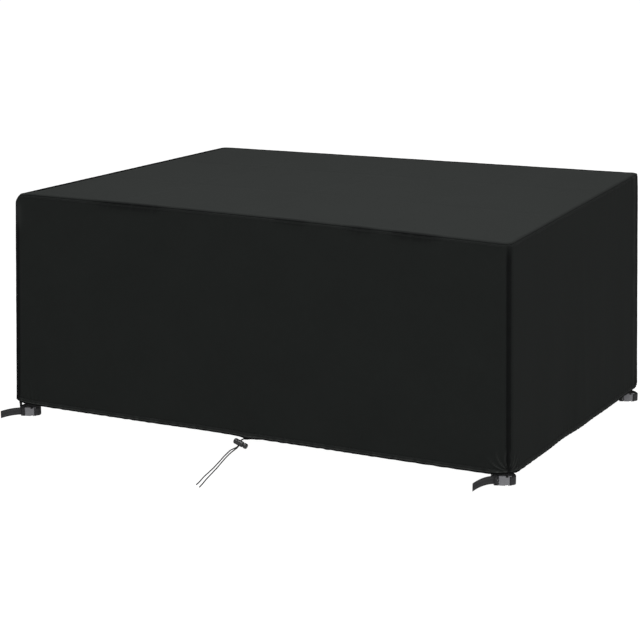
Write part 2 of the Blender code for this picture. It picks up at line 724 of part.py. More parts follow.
def evenly_spaced(points, fine_length, fine_step, step):
    """Return points along a fine polyline, close together first and wider apart after."""
    walked = [0.0]
    for before, after in zip(points, points[1:]):
        walked.append(walked[-1] + (after - before).length)
    total = walked[-1]
    fine_count = round(fine_length / fine_step)
    rest = round((total - fine_length) / step)
    marks = [fine_length * index / fine_count for index in range(fine_count)]
    marks += [fine_length + (total - fine_length) * index / rest for index in range(rest + 1)]
    spaced = []
    index = 0
    for mark in marks:
        while index < len(walked) - 2 and walked[index + 1] < mark:
            index += 1
        share = (mark - walked[index]) / (walked[index + 1] - walked[index])
        spaced.append(points[index].lerp(points[index + 1], share))
    return spaced


def make_cord(name, route, dress):
    """Make one strand as a tube on a smooth curve through its route."""
    fine = smooth_row([Vector(point) * MM for point in route], 12)
    points = evenly_spaced(fine, CORD_FINE_LENGTH, CORD_FINE_STEP, CORD_STEP)
    curve = bpy.data.curves.new(name, "CURVE")
    curve.dimensions = "3D"
    curve.bevel_depth = CORD_RADIUS
    curve.bevel_resolution = 2
    curve.use_fill_caps = True
    spline = curve.splines.new("POLY")
    spline.points.add(len(points) - 1)
    for place, point in zip(spline.points, points):
        place.co = (*point, 1.0)
    curve.materials.append(dress)
    made = bpy.data.objects.new(name, curve)
    bpy.context.collection.objects.link(made)
    return made


# ---------------------------------------------------------------- the whole cover

def main():
    """Make every piece of the cover."""
    for old in list(bpy.data.objects):
        bpy.data.objects.remove(old)
    dress = make_materials()
    make_top(dress["cloth"])
    for side in SIDE_ENDS:
        make_side(side, dress["cloth"])
    make_top_welt(dress["welt"])
    socket = socket_mesh()
    clip = clip_mesh()
    for corner in CORNER_SIGNS:
        make_corner_welt(corner, dress["welt"])
        make_leg_strap(corner, dress["webbing"])
        make_tab(corner, dress["webbing"])
        place_buckle("socket", socket, corner, dress["socket"])
        place_buckle("clip", clip, corner, dress["clip"])
    make_lock(dress["lock"])
    for name, route in CORD_ROUTES.items():
        make_cord(name, route, dress["cord"])


main()
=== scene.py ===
"""Dresses the fitted patio furniture cover: coated cloth, piped seams, webbing, buckles and drawcord.

Everything is in metres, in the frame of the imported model: +X to the right along the front, +Y to the
back, +Z up, with the origin in the middle of the underside of the top panel.
"""

from __future__ import annotations

import logging
import math
from dataclasses import dataclass, field
from enum import Enum

import bmesh
import bpy
import numpy as np
from bpy.types import ID, Material, Mesh, Node, NodeSocket as Socket, NodeTree, Object
from mathutils import Matrix, Vector

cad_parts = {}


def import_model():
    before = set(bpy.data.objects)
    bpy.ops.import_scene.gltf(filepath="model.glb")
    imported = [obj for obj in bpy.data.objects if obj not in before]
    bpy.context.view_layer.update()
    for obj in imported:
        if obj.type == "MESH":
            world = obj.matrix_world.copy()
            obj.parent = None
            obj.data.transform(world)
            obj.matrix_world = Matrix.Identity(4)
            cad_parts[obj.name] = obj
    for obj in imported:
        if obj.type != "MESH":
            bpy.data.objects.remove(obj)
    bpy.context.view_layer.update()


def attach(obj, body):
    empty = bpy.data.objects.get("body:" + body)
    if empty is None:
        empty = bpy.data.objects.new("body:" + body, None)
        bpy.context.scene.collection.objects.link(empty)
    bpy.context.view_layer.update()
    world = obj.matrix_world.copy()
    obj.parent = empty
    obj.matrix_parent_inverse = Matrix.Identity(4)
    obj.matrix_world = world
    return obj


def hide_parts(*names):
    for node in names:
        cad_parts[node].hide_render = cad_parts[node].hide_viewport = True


Array = np.ndarray
Colour = tuple[float, float, float]

LOG = logging.getLogger("patio_cover")
MM = 0.001
FLOOR = -788 * MM
COVER_BODY = "cover"
BUTTON_BODY = "lock_button"


class Corner(Enum):
    """The four corners, named as they are seen from the drawcord side."""

    FRONT_LEFT = "fl"
    FRONT_RIGHT = "fr"
    BACK_RIGHT = "br"
    BACK_LEFT = "bl"


class Side(Enum):
    """The four hanging panels, in order round the cover."""

    FRONT = "front"
    RIGHT = "right"
    BACK = "back"
    LEFT = "left"


SIGNS = {
    Corner.FRONT_LEFT: (-1, -1),
    Corner.FRONT_RIGHT: (1, -1),
    Corner.BACK_RIGHT: (1, 1),
    Corner.BACK_LEFT: (-1, 1),
}
ENDS = {
    Side.FRONT: (Corner.FRONT_LEFT, Corner.FRONT_RIGHT),
    Side.RIGHT: (Corner.FRONT_RIGHT, Corner.BACK_RIGHT),
    Side.BACK: (Corner.BACK_RIGHT, Corner.BACK_LEFT),
    Side.LEFT: (Corner.BACK_LEFT, Corner.FRONT_LEFT),
}
FACINGS = {
    Side.FRONT: -math.pi / 2,
    Side.RIGHT: 0.0,
    Side.BACK: math.pi / 2,
    Side.LEFT: math.pi,
}


# ---------------------------------------------------------------- node tools


class NodeSheet:
    """A short way to place and join nodes in a shader or geometry tree."""

    def __init__(self, tree: NodeTree) -> None:
        """Keep the tree that the nodes go in."""
        self.tree = tree

    def add(self, kind: str, values: dict | None = None, **settings: object) -> Node:
        """Place one node.

        Args:
            kind: The node's type name.
            values: Input values or sockets to join, by socket name or number.
            **settings: Properties of the node itself.

        Returns:
            The new node.
        """
        node = self.tree.nodes.new(kind)
        for name, value in settings.items():
            setattr(node, name, value)
        self.fill(node, values or {})
        return node

    def fill(self, node: Node, values: dict) -> None:
        """Give a node's inputs their values, or sockets to join, by socket name or number."""
        for name, value in values.items():
            self.feed(node.inputs[name], value)

    def feed(self, socket: Socket, value: object) -> None:
        """Give an input a value, or join it to an output.

        Args:
            socket: The input socket.
            value: A plain value, a colour of three numbers, or an output socket.
        """
        if isinstance(value, Socket):
            self.tree.links.new(value, socket)
        elif socket.type == "RGBA":
            socket.default_value = (*value, 1.0)
        else:
            socket.default_value = value

    def maths(self, operation: str, *values: object) -> Socket:
        """Place a Math node with its inputs in order, and return its output."""
        return self.add("ShaderNodeMath", dict(enumerate(values)), operation=operation).outputs[0]

    def blend(self, share: Socket, first: object, second: object) -> Socket:
        """Place a mix of two colours, which shows a share of the second, and return its output."""
        return self.add("ShaderNodeMix", {0: share, 6: first, 7: second}, data_type="RGBA").outputs[2]

    def ramp(self, value: Socket, first: float, last: float, start: float = 0.0, end: float = 1.0) -> Socket:
        """Place a Map Range node that gives first at the range's start and last at its end."""
        return self.add("ShaderNodeMapRange", {0: value, 1: start, 2: end, 3: first, 4: last}).outputs[0]

    def noise(self, vector: Socket, scale: object, detail: float, **more: float) -> Socket:
        """Place a noise texture, its other inputs given by name, and return its height."""
        values = {"Vector": vector, "Scale": scale, "Detail": detail, **more}
        return self.add("ShaderNodeTexNoise", values).outputs["Fac"]

    def bump(self, height: Socket, depth: float, strength: float, **under: Socket) -> Socket:
        """Place a Bump node of a depth in metres, with any Normal that it lies on."""
        values = {"Height": height, "Distance": depth, "Strength": strength, **under}
        return self.add("ShaderNodeBump", values).outputs[0]

    def apart(self, vector: Socket) -> bpy.types.bpy_prop_collection:
        """Return the three values of a vector."""
        return self.add("ShaderNodeSeparateXYZ", {0: vector}).outputs

    def where(self) -> Socket:
        """Return the place on the piece."""
        return self.add("ShaderNodeTexCoord").outputs["Object"]

    def cut_map(self) -> Socket:
        """Return the place on the map of the cut cloth, webbing or cord, in metres."""
        return self.add("ShaderNodeUVMap", uv_map="cut").outputs["UV"]

    def marked(self, name: str) -> Socket:
        """Return a number that the mesh holds at each point."""
        return self.add("ShaderNodeAttribute", attribute_name=name).outputs["Fac"]


class SharedEffects:
    """Shader node groups that several finishes use."""

    def __init__(self) -> None:
        """Build each group once."""
        self.mottle = self._mottle()
        self.weave = self._weave()
        self.creases = self._creases()

    def _new(self, name: str, inputs: dict[str, float | None], output: str) -> tuple:
        """Make an empty group.

        Args:
            name: The group's name.
            inputs: The first value of each input, or None where it is a vector.
            output: The name of its output, a plain number.

        Returns:
            The group, its sheet, what it is given and its output node.
        """
        group = bpy.data.node_groups.new(name, "ShaderNodeTree")
        for label, value in inputs.items():
            kind = "NodeSocketVector" if value is None else "NodeSocketFloat"
            socket = group.interface.new_socket(label, in_out="INPUT", socket_type=kind)
            if value is not None:
                socket.default_value = value
        group.interface.new_socket(output, in_out="OUTPUT", socket_type="NodeSocketFloat")
        sheet = NodeSheet(group)
        return group, sheet, sheet.add("NodeGroupInput").outputs, sheet.add("NodeGroupOutput")

    def _mottle(self) -> NodeTree:
        """Return a soft cloudy mask, such as handling and dust leave on cloth."""
        group, sheet, given, end = self._new("mottle", {"Vector": None, "Scale": 9, "Contrast": 0.3}, "Mask")
        wide = sheet.noise(given["Vector"], given["Scale"], 4.0, Roughness=0.55)
        fine = sheet.noise(given["Vector"], sheet.maths("MULTIPLY", given["Scale"], 7.3), 3.0)
        both = sheet.maths("MULTIPLY_ADD", fine, 0.35, sheet.maths("MULTIPLY", wide, 0.65))
        centred = sheet.maths("SUBTRACT", both, 0.5)
        sheet.feed(end.inputs[0], sheet.maths("MULTIPLY_ADD", centred, given["Contrast"], 0.5))
        return group

    def _weave(self) -> NodeTree:
        """Return the height of a plain weave on a map in metres."""
        group, sheet, given, end = self._new("plain_weave", {"Map": None, "Pitch": 0.6 * MM}, "Height")
        turn = sheet.maths("DIVIDE", 2 * math.pi, given["Pitch"])
        warp, weft = (sheet.maths("SINE", sheet.maths("MULTIPLY", axis, turn))
                      for axis in sheet.apart(given["Map"])[:2])
        sheet.feed(end.inputs[0], sheet.maths("MULTIPLY_ADD", sheet.maths("MULTIPLY", warp, weft), 0.5, 0.5))
        return group

    def _creases(self) -> NodeTree:
        """Return the height of small soft creases that run mostly one way."""
        inputs = {"Vector": None, "Scale": 20, "Stretch": 0.35}
        group, sheet, given, end = self._new("soft_creases", inputs, "Height")
        squeeze = sheet.add("ShaderNodeCombineXYZ", {0: 1.0, 1: 1.0, 2: given["Stretch"]}).outputs[0]
        pulled = sheet.add("ShaderNodeVectorMath", {0: given["Vector"], 1: squeeze}, operation="MULTIPLY")
        height = sheet.noise(pulled.outputs[0], given["Scale"], 5.0, Roughness=0.5, Distortion=0.4)
        sheet.feed(end.inputs[0], height)
        return group

    def place(self, sheet: NodeSheet, group: NodeTree, values: dict) -> Socket:
        """Place one group in a material with its inputs, and return its output."""
        return sheet.add("ShaderNodeGroup", values, node_tree=group).outputs[0]


# ---------------------------------------------------------------- finishes

def new_material(name: str) -> tuple[Material, NodeSheet, Node]:
    """Make a material with a Principled shader.

    Args:
        name: The material's name.

    Returns:
        The material, its sheet and its shader.
    """
    material = bpy.data.materials.new(name)
    material.use_nodes = True
    return material, NodeSheet(material.node_tree), material.node_tree.nodes["Principled BSDF"]


@dataclass(frozen=True)
class ClothFinish:
    """Coated polyester cloth: a fine plain weave under a dull coat, with painted shade and painted highlights
    mixed into its colour.
    """

    name: str
    dark: Colour
    light: Colour
    # seam is the colour of the painted shade at the seams, along the hem's edge and under the top's folds
    seam: Colour
    # The next colour is the painted highlight on the hem, the creases' crests and the folds
    painted_highlight: Colour
    rough_low: float
    rough_high: float
    weave_pitch: float = 0.7 * MM
    weave_depth: float = 0.05 * MM
    crease_depth: float = 0.7 * MM
    specular: float = 0.08

    def build(self, effects: SharedEffects) -> Material:
        """Make the material.

        Args:
            effects: The shared node groups.

        Returns:
            The material.
        """
        material, sheet, shader = new_material(self.name)
        where = sheet.where()
        cloud = effects.place(sheet, effects.mottle, {"Vector": where, "Scale": 6.0, "Contrast": 1.4})
        crease = effects.place(sheet, effects.creases, {"Vector": where, "Scale": 26.0, "Stretch": 0.4})
        weave = effects.place(sheet, effects.weave, {"Map": sheet.cut_map(), "Pitch": self.weave_pitch})
        # Painted shade: the seam colour darkens the mottled coat where a mark on the mesh says, at seams, hem
        # edge and folds
        coat = sheet.blend(sheet.marked("painted_seam_shade"), sheet.blend(cloud, self.dark, self.light), self.seam)
        folds = sheet.bump(crease, self.crease_depth, 0.5)
        sheet.fill(shader, {
            # Painted highlight: a second mark on the mesh lightens the colour along the hem, on crests and on
            # folds
            "Base Color": sheet.blend(sheet.marked("painted_highlight"), coat, self.painted_highlight),
            "Roughness": sheet.ramp(cloud, self.rough_low, self.rough_high),
            "Normal": sheet.bump(weave, self.weave_depth, 0.4, Normal=folds),
            "Specular IOR Level": self.specular})
        return material


@dataclass(frozen=True)
class WebbingFinish:
    """Ribbed polypropylene webbing."""

    name: str
    dark: Colour
    light: Colour
    rib_pitch: float = 1.9 * MM
    rib_depth: float = 0.35 * MM
    rib_slant: float = 1.6
    roughness: float = 0.7
    sheen: float = 0.05
    stripe_place: float = 5.2 * MM
    stripe_width: float = 2.6 * MM
    selvedge: float = 10.4 * MM
    selvedge_fade: float = 1.2 * MM

    def build(self, effects: SharedEffects) -> Material:
        """Make the material.

        Args:
            effects: The shared node groups.

        Returns:
            The material.
        """
        material, sheet, shader = new_material(self.name)
        across, along = sheet.apart(sheet.cut_map())[:2]
        turn = 2 * math.pi / self.rib_pitch
        cross = sheet.maths("ABSOLUTE", sheet.maths("SINE", sheet.maths("MULTIPLY", across, turn / 2)))
        slant = sheet.maths("MULTIPLY", cross, self.rib_slant)
        turned = sheet.maths("ADD", sheet.maths("MULTIPLY", along, turn), slant)
        rib = sheet.maths("MULTIPLY_ADD", sheet.maths("SINE", turned), 0.5, 0.5)
        height = sheet.maths("MULTIPLY_ADD", cross, 0.5, sheet.maths("MULTIPLY", rib, 0.5))
        spots = {"Vector": sheet.where(), "Scale": 60.0, "Contrast": 1.2}
        edge = sheet.maths("ABSOLUTE", across)
        off_stripe = sheet.maths("ABSOLUTE", sheet.maths("SUBTRACT", edge, self.stripe_place))
        stripe = sheet.ramp(off_stripe, 1.35, 0.75, 0.0, self.stripe_width)
        inside = sheet.ramp(edge, 1.0, 0.3, self.selvedge, self.selvedge + self.selvedge_fade)
        patchy = sheet.maths("ADD", effects.place(sheet, effects.mottle, spots), 0.5)
        # The colour follows the ribs' height: painted shade in their grooves and painted highlight on their
        # crests, with a random mottle
        mask = sheet.maths("MULTIPLY", height, patchy)
        mask = sheet.maths("MULTIPLY", mask, sheet.maths("MULTIPLY", stripe, inside))
        sheet.fill(shader, {
            "Base Color": sheet.blend(mask, self.dark, self.light), "Roughness": self.roughness,
            "Normal": sheet.bump(height, self.rib_depth, 0.7), "Sheen Weight": self.sheen})
        return material


@dataclass(frozen=True)
class CordFinish:
    """Braided polyester cord, or twisted sewing thread."""

    name: str
    dark: Colour
    light: Colour
    strands: int = 8
    pitch: float = 3.6 * MM
    depth: float = 0.25 * MM
    roughness: float = 0.75
    sheen: float = 0.05

    def build(self, effects: SharedEffects) -> Material:
        """Make the material.

        Args:
            effects: The shared node groups.

        Returns:
            The material.
        """
        material, sheet, shader = new_material(self.name)
        across, length = sheet.apart(sheet.cut_map())[:2]
        around = sheet.maths("MULTIPLY", across, math.pi * self.strands)
        along = sheet.maths("MULTIPLY", length, 2 * math.pi / self.pitch)
        left, right = (sheet.maths("SINE", sheet.maths(way, around, along)) for way in ("ADD", "SUBTRACT"))
        height = sheet.maths("MULTIPLY_ADD", sheet.maths("MULTIPLY", left, right), 0.5, 0.5)
        spots = {"Vector": sheet.where(), "Scale": 90.0, "Contrast": 1.3}
        patchy = sheet.maths("ADD", effects.place(sheet, effects.mottle, spots), 0.45)
        # The colour follows the braid's height: painted shade in its hollows and painted highlight on its
        # crowns, with a random mottle
        mask = sheet.maths("MULTIPLY", height, patchy)
        sheet.fill(shader, {
            "Base Color": sheet.blend(mask, self.dark, self.light), "Roughness": self.roughness,
            "Normal": sheet.bump(height, self.depth, 0.8), "Sheen Weight": self.sheen})
        return material


@dataclass(frozen=True)
class PlasticFinish:
    """Moulded plastic with a fine grain and slight handling marks."""

    name: str
    dark: Colour
    light: Colour
    rough_low: float
    rough_high: float
    grain: float = 0.03 * MM
    grain_scale: float = 2400.0
    specular: float = 0.5

    def build(self, effects: SharedEffects) -> Material:
        """Make the material.

        Args:
            effects: The shared node groups.

        Returns:
            The material.
        """
        material, sheet, shader = new_material(self.name)
        where = sheet.where()
        cloud = effects.place(sheet, effects.mottle, {"Vector": where, "Scale": 120.0, "Contrast": 1.6})
        sheet.fill(shader, {
            "Base Color": sheet.blend(cloud, self.dark, self.light),
            "Roughness": sheet.ramp(cloud, self.rough_low, self.rough_high),
            "Normal": sheet.bump(sheet.noise(where, self.grain_scale, 2.0), self.grain, 0.5),
            "Specular IOR Level": self.specular})
        return material


FINISHES = {
    # In the cloth and the piping, seam is the colour of the painted seam shade and the colour after it the
    # painted highlight
    "cloth": ClothFinish(
        "coated_cloth", (0.0142, 0.0159, 0.0150), (0.0188, 0.0209, 0.0198),
        seam=(0.0026, 0.0028, 0.0030), painted_highlight=(0.070, 0.073, 0.070), rough_low=0.78, rough_high=0.88),
    "piping": ClothFinish(
        "piping_tape", (0.0125, 0.0138, 0.0132), (0.0155, 0.0172, 0.0165),
        seam=(0.0026, 0.0028, 0.0030), painted_highlight=(0.05, 0.05, 0.05), rough_low=0.75, rough_high=0.85,
        crease_depth=0.4 * MM),
    "webbing": WebbingFinish("strap_webbing", (0.006, 0.006, 0.007), (0.052, 0.052, 0.055)),
    "grey_plastic": PlasticFinish(
        "satin_grey_plastic", (0.235, 0.235, 0.25), (0.315, 0.315, 0.333), rough_low=0.3, rough_high=0.42),
    "black_plastic": PlasticFinish(
        "black_plastic", (0.009, 0.009, 0.010), (0.016, 0.016, 0.018), rough_low=0.3, rough_high=0.45),
    "lock_plastic": PlasticFinish(
        "lock_plastic", (0.022, 0.022, 0.023), (0.040, 0.040, 0.042), rough_low=0.18, rough_high=0.3,
        specular=0.7),
    "cord": CordFinish("braided_cord", (0.002, 0.002, 0.0025), (0.014, 0.014, 0.015)),
    "thread": CordFinish(
        "sewing_thread", (0.010, 0.011, 0.011), (0.017, 0.018, 0.018), depth=0.05 * MM, sheen=0.0),
}


@dataclass(frozen=True)
class Wardrobe:
    """All the finishes of the cover, built once."""

    cloth: Material
    piping: Material
    webbing: Material
    grey_plastic: Material
    black_plastic: Material
    lock_plastic: Material
    cord: Material
    thread: Material

    @classmethod
    def build(cls) -> Wardrobe:
        """Return every finish of the cover."""
        effects = SharedEffects()
        return cls(**{name: finish.build(effects) for name, finish in FINISHES.items()})


# ---------------------------------------------------------------- shape tools


def bell(distance: Array, reach: float, power: int = 2) -> Array:
    """Return 1 where a distance is 0, falling to 0 past its reach, with a flatter top at a higher power."""
    return np.exp(-(distance / reach) ** power)


def beyond(value: Array, start: float | Array) -> Array:
    """Return how far values lie past a start, and 0 before it."""
    return np.clip(value - start, 0, None)


def ease(share: Array) -> Array:
    """Return shares from 0 to 1 with a soft start and end."""
    return share * share * (3 - 2 * share)


def at_height(plan: Array, height: Array) -> Array:
    """Return plan points or directions with a third value."""
    return np.concatenate([plan, height[..., None]], axis=-1)


def walk(path: Array) -> Array:
    """Return how far along a path each of its points is."""
    return np.concatenate([[0.0], np.cumsum(np.linalg.norm(np.diff(path, axis=0), axis=1))])


def smooth_row(points: Array, substeps: int) -> Array:
    """Return points on a Catmull-Rom curve through the given ones.

    Args:
        points: The points, one a row.
        substeps: How many steps between two of them.

    Returns:
        The finer row.
    """
    padded = np.vstack([2 * points[0] - points[1], points, 2 * points[-1] - points[-2]])
    steps = np.arange(substeps)[:, None] / substeps
    rows = []
    for index in range(1, len(padded) - 2):
        before, start, end, after = padded[index - 1:index + 3]
        rows.append(0.5 * (2 * start + (end - before) * steps
                           + (2 * before - 5 * start + 4 * end - after) * steps ** 2
                           + (3 * start - before - 3 * end + after) * steps ** 3))
    return np.vstack([*rows, points[-1]])


def cut_corners(points: Array, rounds: int) -> Array:
    """Return a row of points with its corners rounded off.

    Args:
        points: The points, one a row.
        rounds: How many times to cut each corner.

    Returns:
        The rounder row.
    """
    for _ in range(rounds):
        near = 0.75 * points[:-1] + 0.25 * points[1:]
        far = 0.25 * points[:-1] + 0.75 * points[1:]
        between = np.stack([near, far], axis=1).reshape(-1, points.shape[1])
        points = np.vstack([points[0], between, points[-1]])
    return points


def even_row(points: Array, step: float) -> Array:
    """Return a row of points spaced evenly along a polyline.

    Args:
        points: The polyline.
        step: About how far apart they lie.

    Returns:
        The even row.
    """
    walked = walk(points)
    marks = np.linspace(0, walked[-1], max(2, round(walked[-1] / step) + 1))
    return np.stack([np.interp(marks, walked, points[:, axis]) for axis in range(points.shape[1])], axis=1)


def unit(rows: Array) -> Array:
    """Return rows scaled to a length of one."""
    return rows / np.maximum(np.linalg.norm(rows, axis=-1, keepdims=True), 1e-12)


def tangents(path: Array, closed: bool = False) -> Array:
    """Return the direction of a path, open or closed, at each of its points."""
    if closed:
        return unit(np.roll(path, -1, axis=0) - np.roll(path, 1, axis=0))
    return unit(np.gradient(path, axis=0))


# ---------------------------------------------------------------- mesh tools


def put(name: str, data: ID) -> Object:
    """Add an object at the origin.

    Args:
        name: Its name.
        data: Its mesh, light or camera.

    Returns:
        The new object.
    """
    made = bpy.data.objects.new(name, data)
    bpy.context.collection.objects.link(made)
    return made


def add_mesh(name: str, points: Array, faces: list[tuple[int, ...]], material: Material,
             smooth: bool = True) -> Object:
    """Add a mesh object at the origin.

    Args:
        name: The piece's name.
        points: Its points, in metres.
        faces: Its faces, by point number.
        material: Its finish.
        smooth: Whether its faces shade smoothly.

    Returns:
        The new object.
    """
    mesh = bpy.data.meshes.new(name)
    mesh.from_pydata(np.asarray(points, float).reshape(-1, 3).tolist(), [], faces)
    mesh.materials.append(material)
    mesh.shade_smooth() if smooth else mesh.shade_flat()
    return put(name, mesh)


def lay_map(mesh: Mesh, per_point: Array) -> None:
    """Give a mesh the map of its cut cloth, one pair a point.

    Args:
        mesh: The mesh.
        per_point: A pair for each point, in metres.
    """
    layer = mesh.uv_layers.new(name="cut")
    corners = np.empty(len(mesh.loops), dtype=np.int32)
    mesh.loops.foreach_get("vertex_index", corners)
    layer.data.foreach_set("uv", np.asarray(per_point, np.float32).reshape(-1, 2)[corners].ravel())


def mark(mesh: Mesh, name: str, per_point: Array) -> None:
    """Give a mesh a named number at each point."""
    layer = mesh.attributes.new(name, "FLOAT", "POINT")
    layer.data.foreach_set("value", np.asarray(per_point, np.float32).ravel())


def grid_faces(columns: int, rows: int, around: bool = False) -> list[tuple[int, int, int, int]]:
    """Return the faces of a grid of points stored column by column.

    Args:
        columns: How many columns.
        rows: How many points in a column.
        around: Whether the last row joins the first.

    Returns:
        The faces, by point number.
    """
    faces = []
    for column in range(columns - 1):
        for row in range(rows if around else rows - 1):
            here = column * rows + row
            after = column * rows + (row + 1) % rows
            faces.append((here, here + rows, after + rows, after))
    return faces


def face_outwards(mesh: Mesh) -> None:
    """Turn the faces of a closed mesh outwards."""
    shell = bmesh.new()
    shell.from_mesh(mesh)
    bmesh.ops.recalc_face_normals(shell, faces=shell.faces)
    shell.to_mesh(mesh)
    shell.free()


def thicken(sheet: Object, thickness: float) -> None:
    """Give a sheet of cloth its thickness, inwards from its face."""
    solid = sheet.modifiers.new("cloth_thickness", "SOLIDIFY")
    solid.thickness, solid.offset = thickness, -1


def tube(name: str, path: Array, radius: Array, material: Material, closed: bool = False) -> Object:
    """Add a tube along a path, with its map and rounded ends.

    Args:
        name: The piece's name.
        path: The points of its middle.
        radius: Its radius at each point and side.
        material: Its finish.
        closed: Whether it runs into itself.

    Returns:
        The new object.
    """
    ahead = tangents(path, closed)
    sides = radius.shape[1]
    first = np.array((0.13, 0.21, 0.97))
    axes = np.empty_like(path)
    for index, direction in enumerate(ahead):
        first = first - direction * (first @ direction)
        first = first / np.linalg.norm(first)
        axes[index] = first
    other = np.cross(ahead, axes)
    angles = 2 * math.pi * np.arange(sides) / sides
    cosines, sines = np.cos(angles)[None, :, None], np.sin(angles)[None, :, None]
    rings = path[:, None] + radius[..., None] * (cosines * axes[:, None] + sines * other[:, None])
    points = rings.reshape(-1, 3)
    faces = grid_faces(len(path), sides, around=True)
    walked = walk(path)
    pairs = np.stack([np.tile(np.arange(sides) / sides, len(path)), np.repeat(walked, sides)], axis=1)
    last = (len(path) - 1) * sides
    if closed:
        faces += [(last + side, side, (side + 1) % sides, last + (side + 1) % sides) for side in range(sides)]
    else:
        start = path[0] - ahead[0] * radius[0].mean() * 0.35
        end = path[-1] + ahead[-1] * radius[-1].mean() * 0.35
        points = np.vstack([points, start, end])
        pairs = np.vstack([pairs, [0.5, 0], [0.5, walked[-1]]])
        tip = len(path) * sides
        faces += [(tip, side, (side + 1) % sides) for side in range(sides)]
        faces += [(tip + 1, last + (side + 1) % sides, last + side) for side in range(sides)]
    made = add_mesh(name, points, faces, material)
    lay_map(made.data, pairs)
    face_outwards(made.data)
    return made


def own(piece: Object, body: str, slot: str, *nodes: str) -> Object:
    """Fix a piece to its body, and hide the CAD nodes that it stands for.

    Args:
        piece: The finished piece.
        body: The body that it rides on.
        slot: Not used.
        *nodes: The CAD nodes that it replaces.

    Returns:
        The same piece.
    """
    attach(piece, body)
    if nodes:
        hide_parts(*nodes)
    LOG.info("%s: %d faces", piece.name, len(piece.data.polygons))
    return piece


# ---------------------------------------------------------------- the hanging cloth


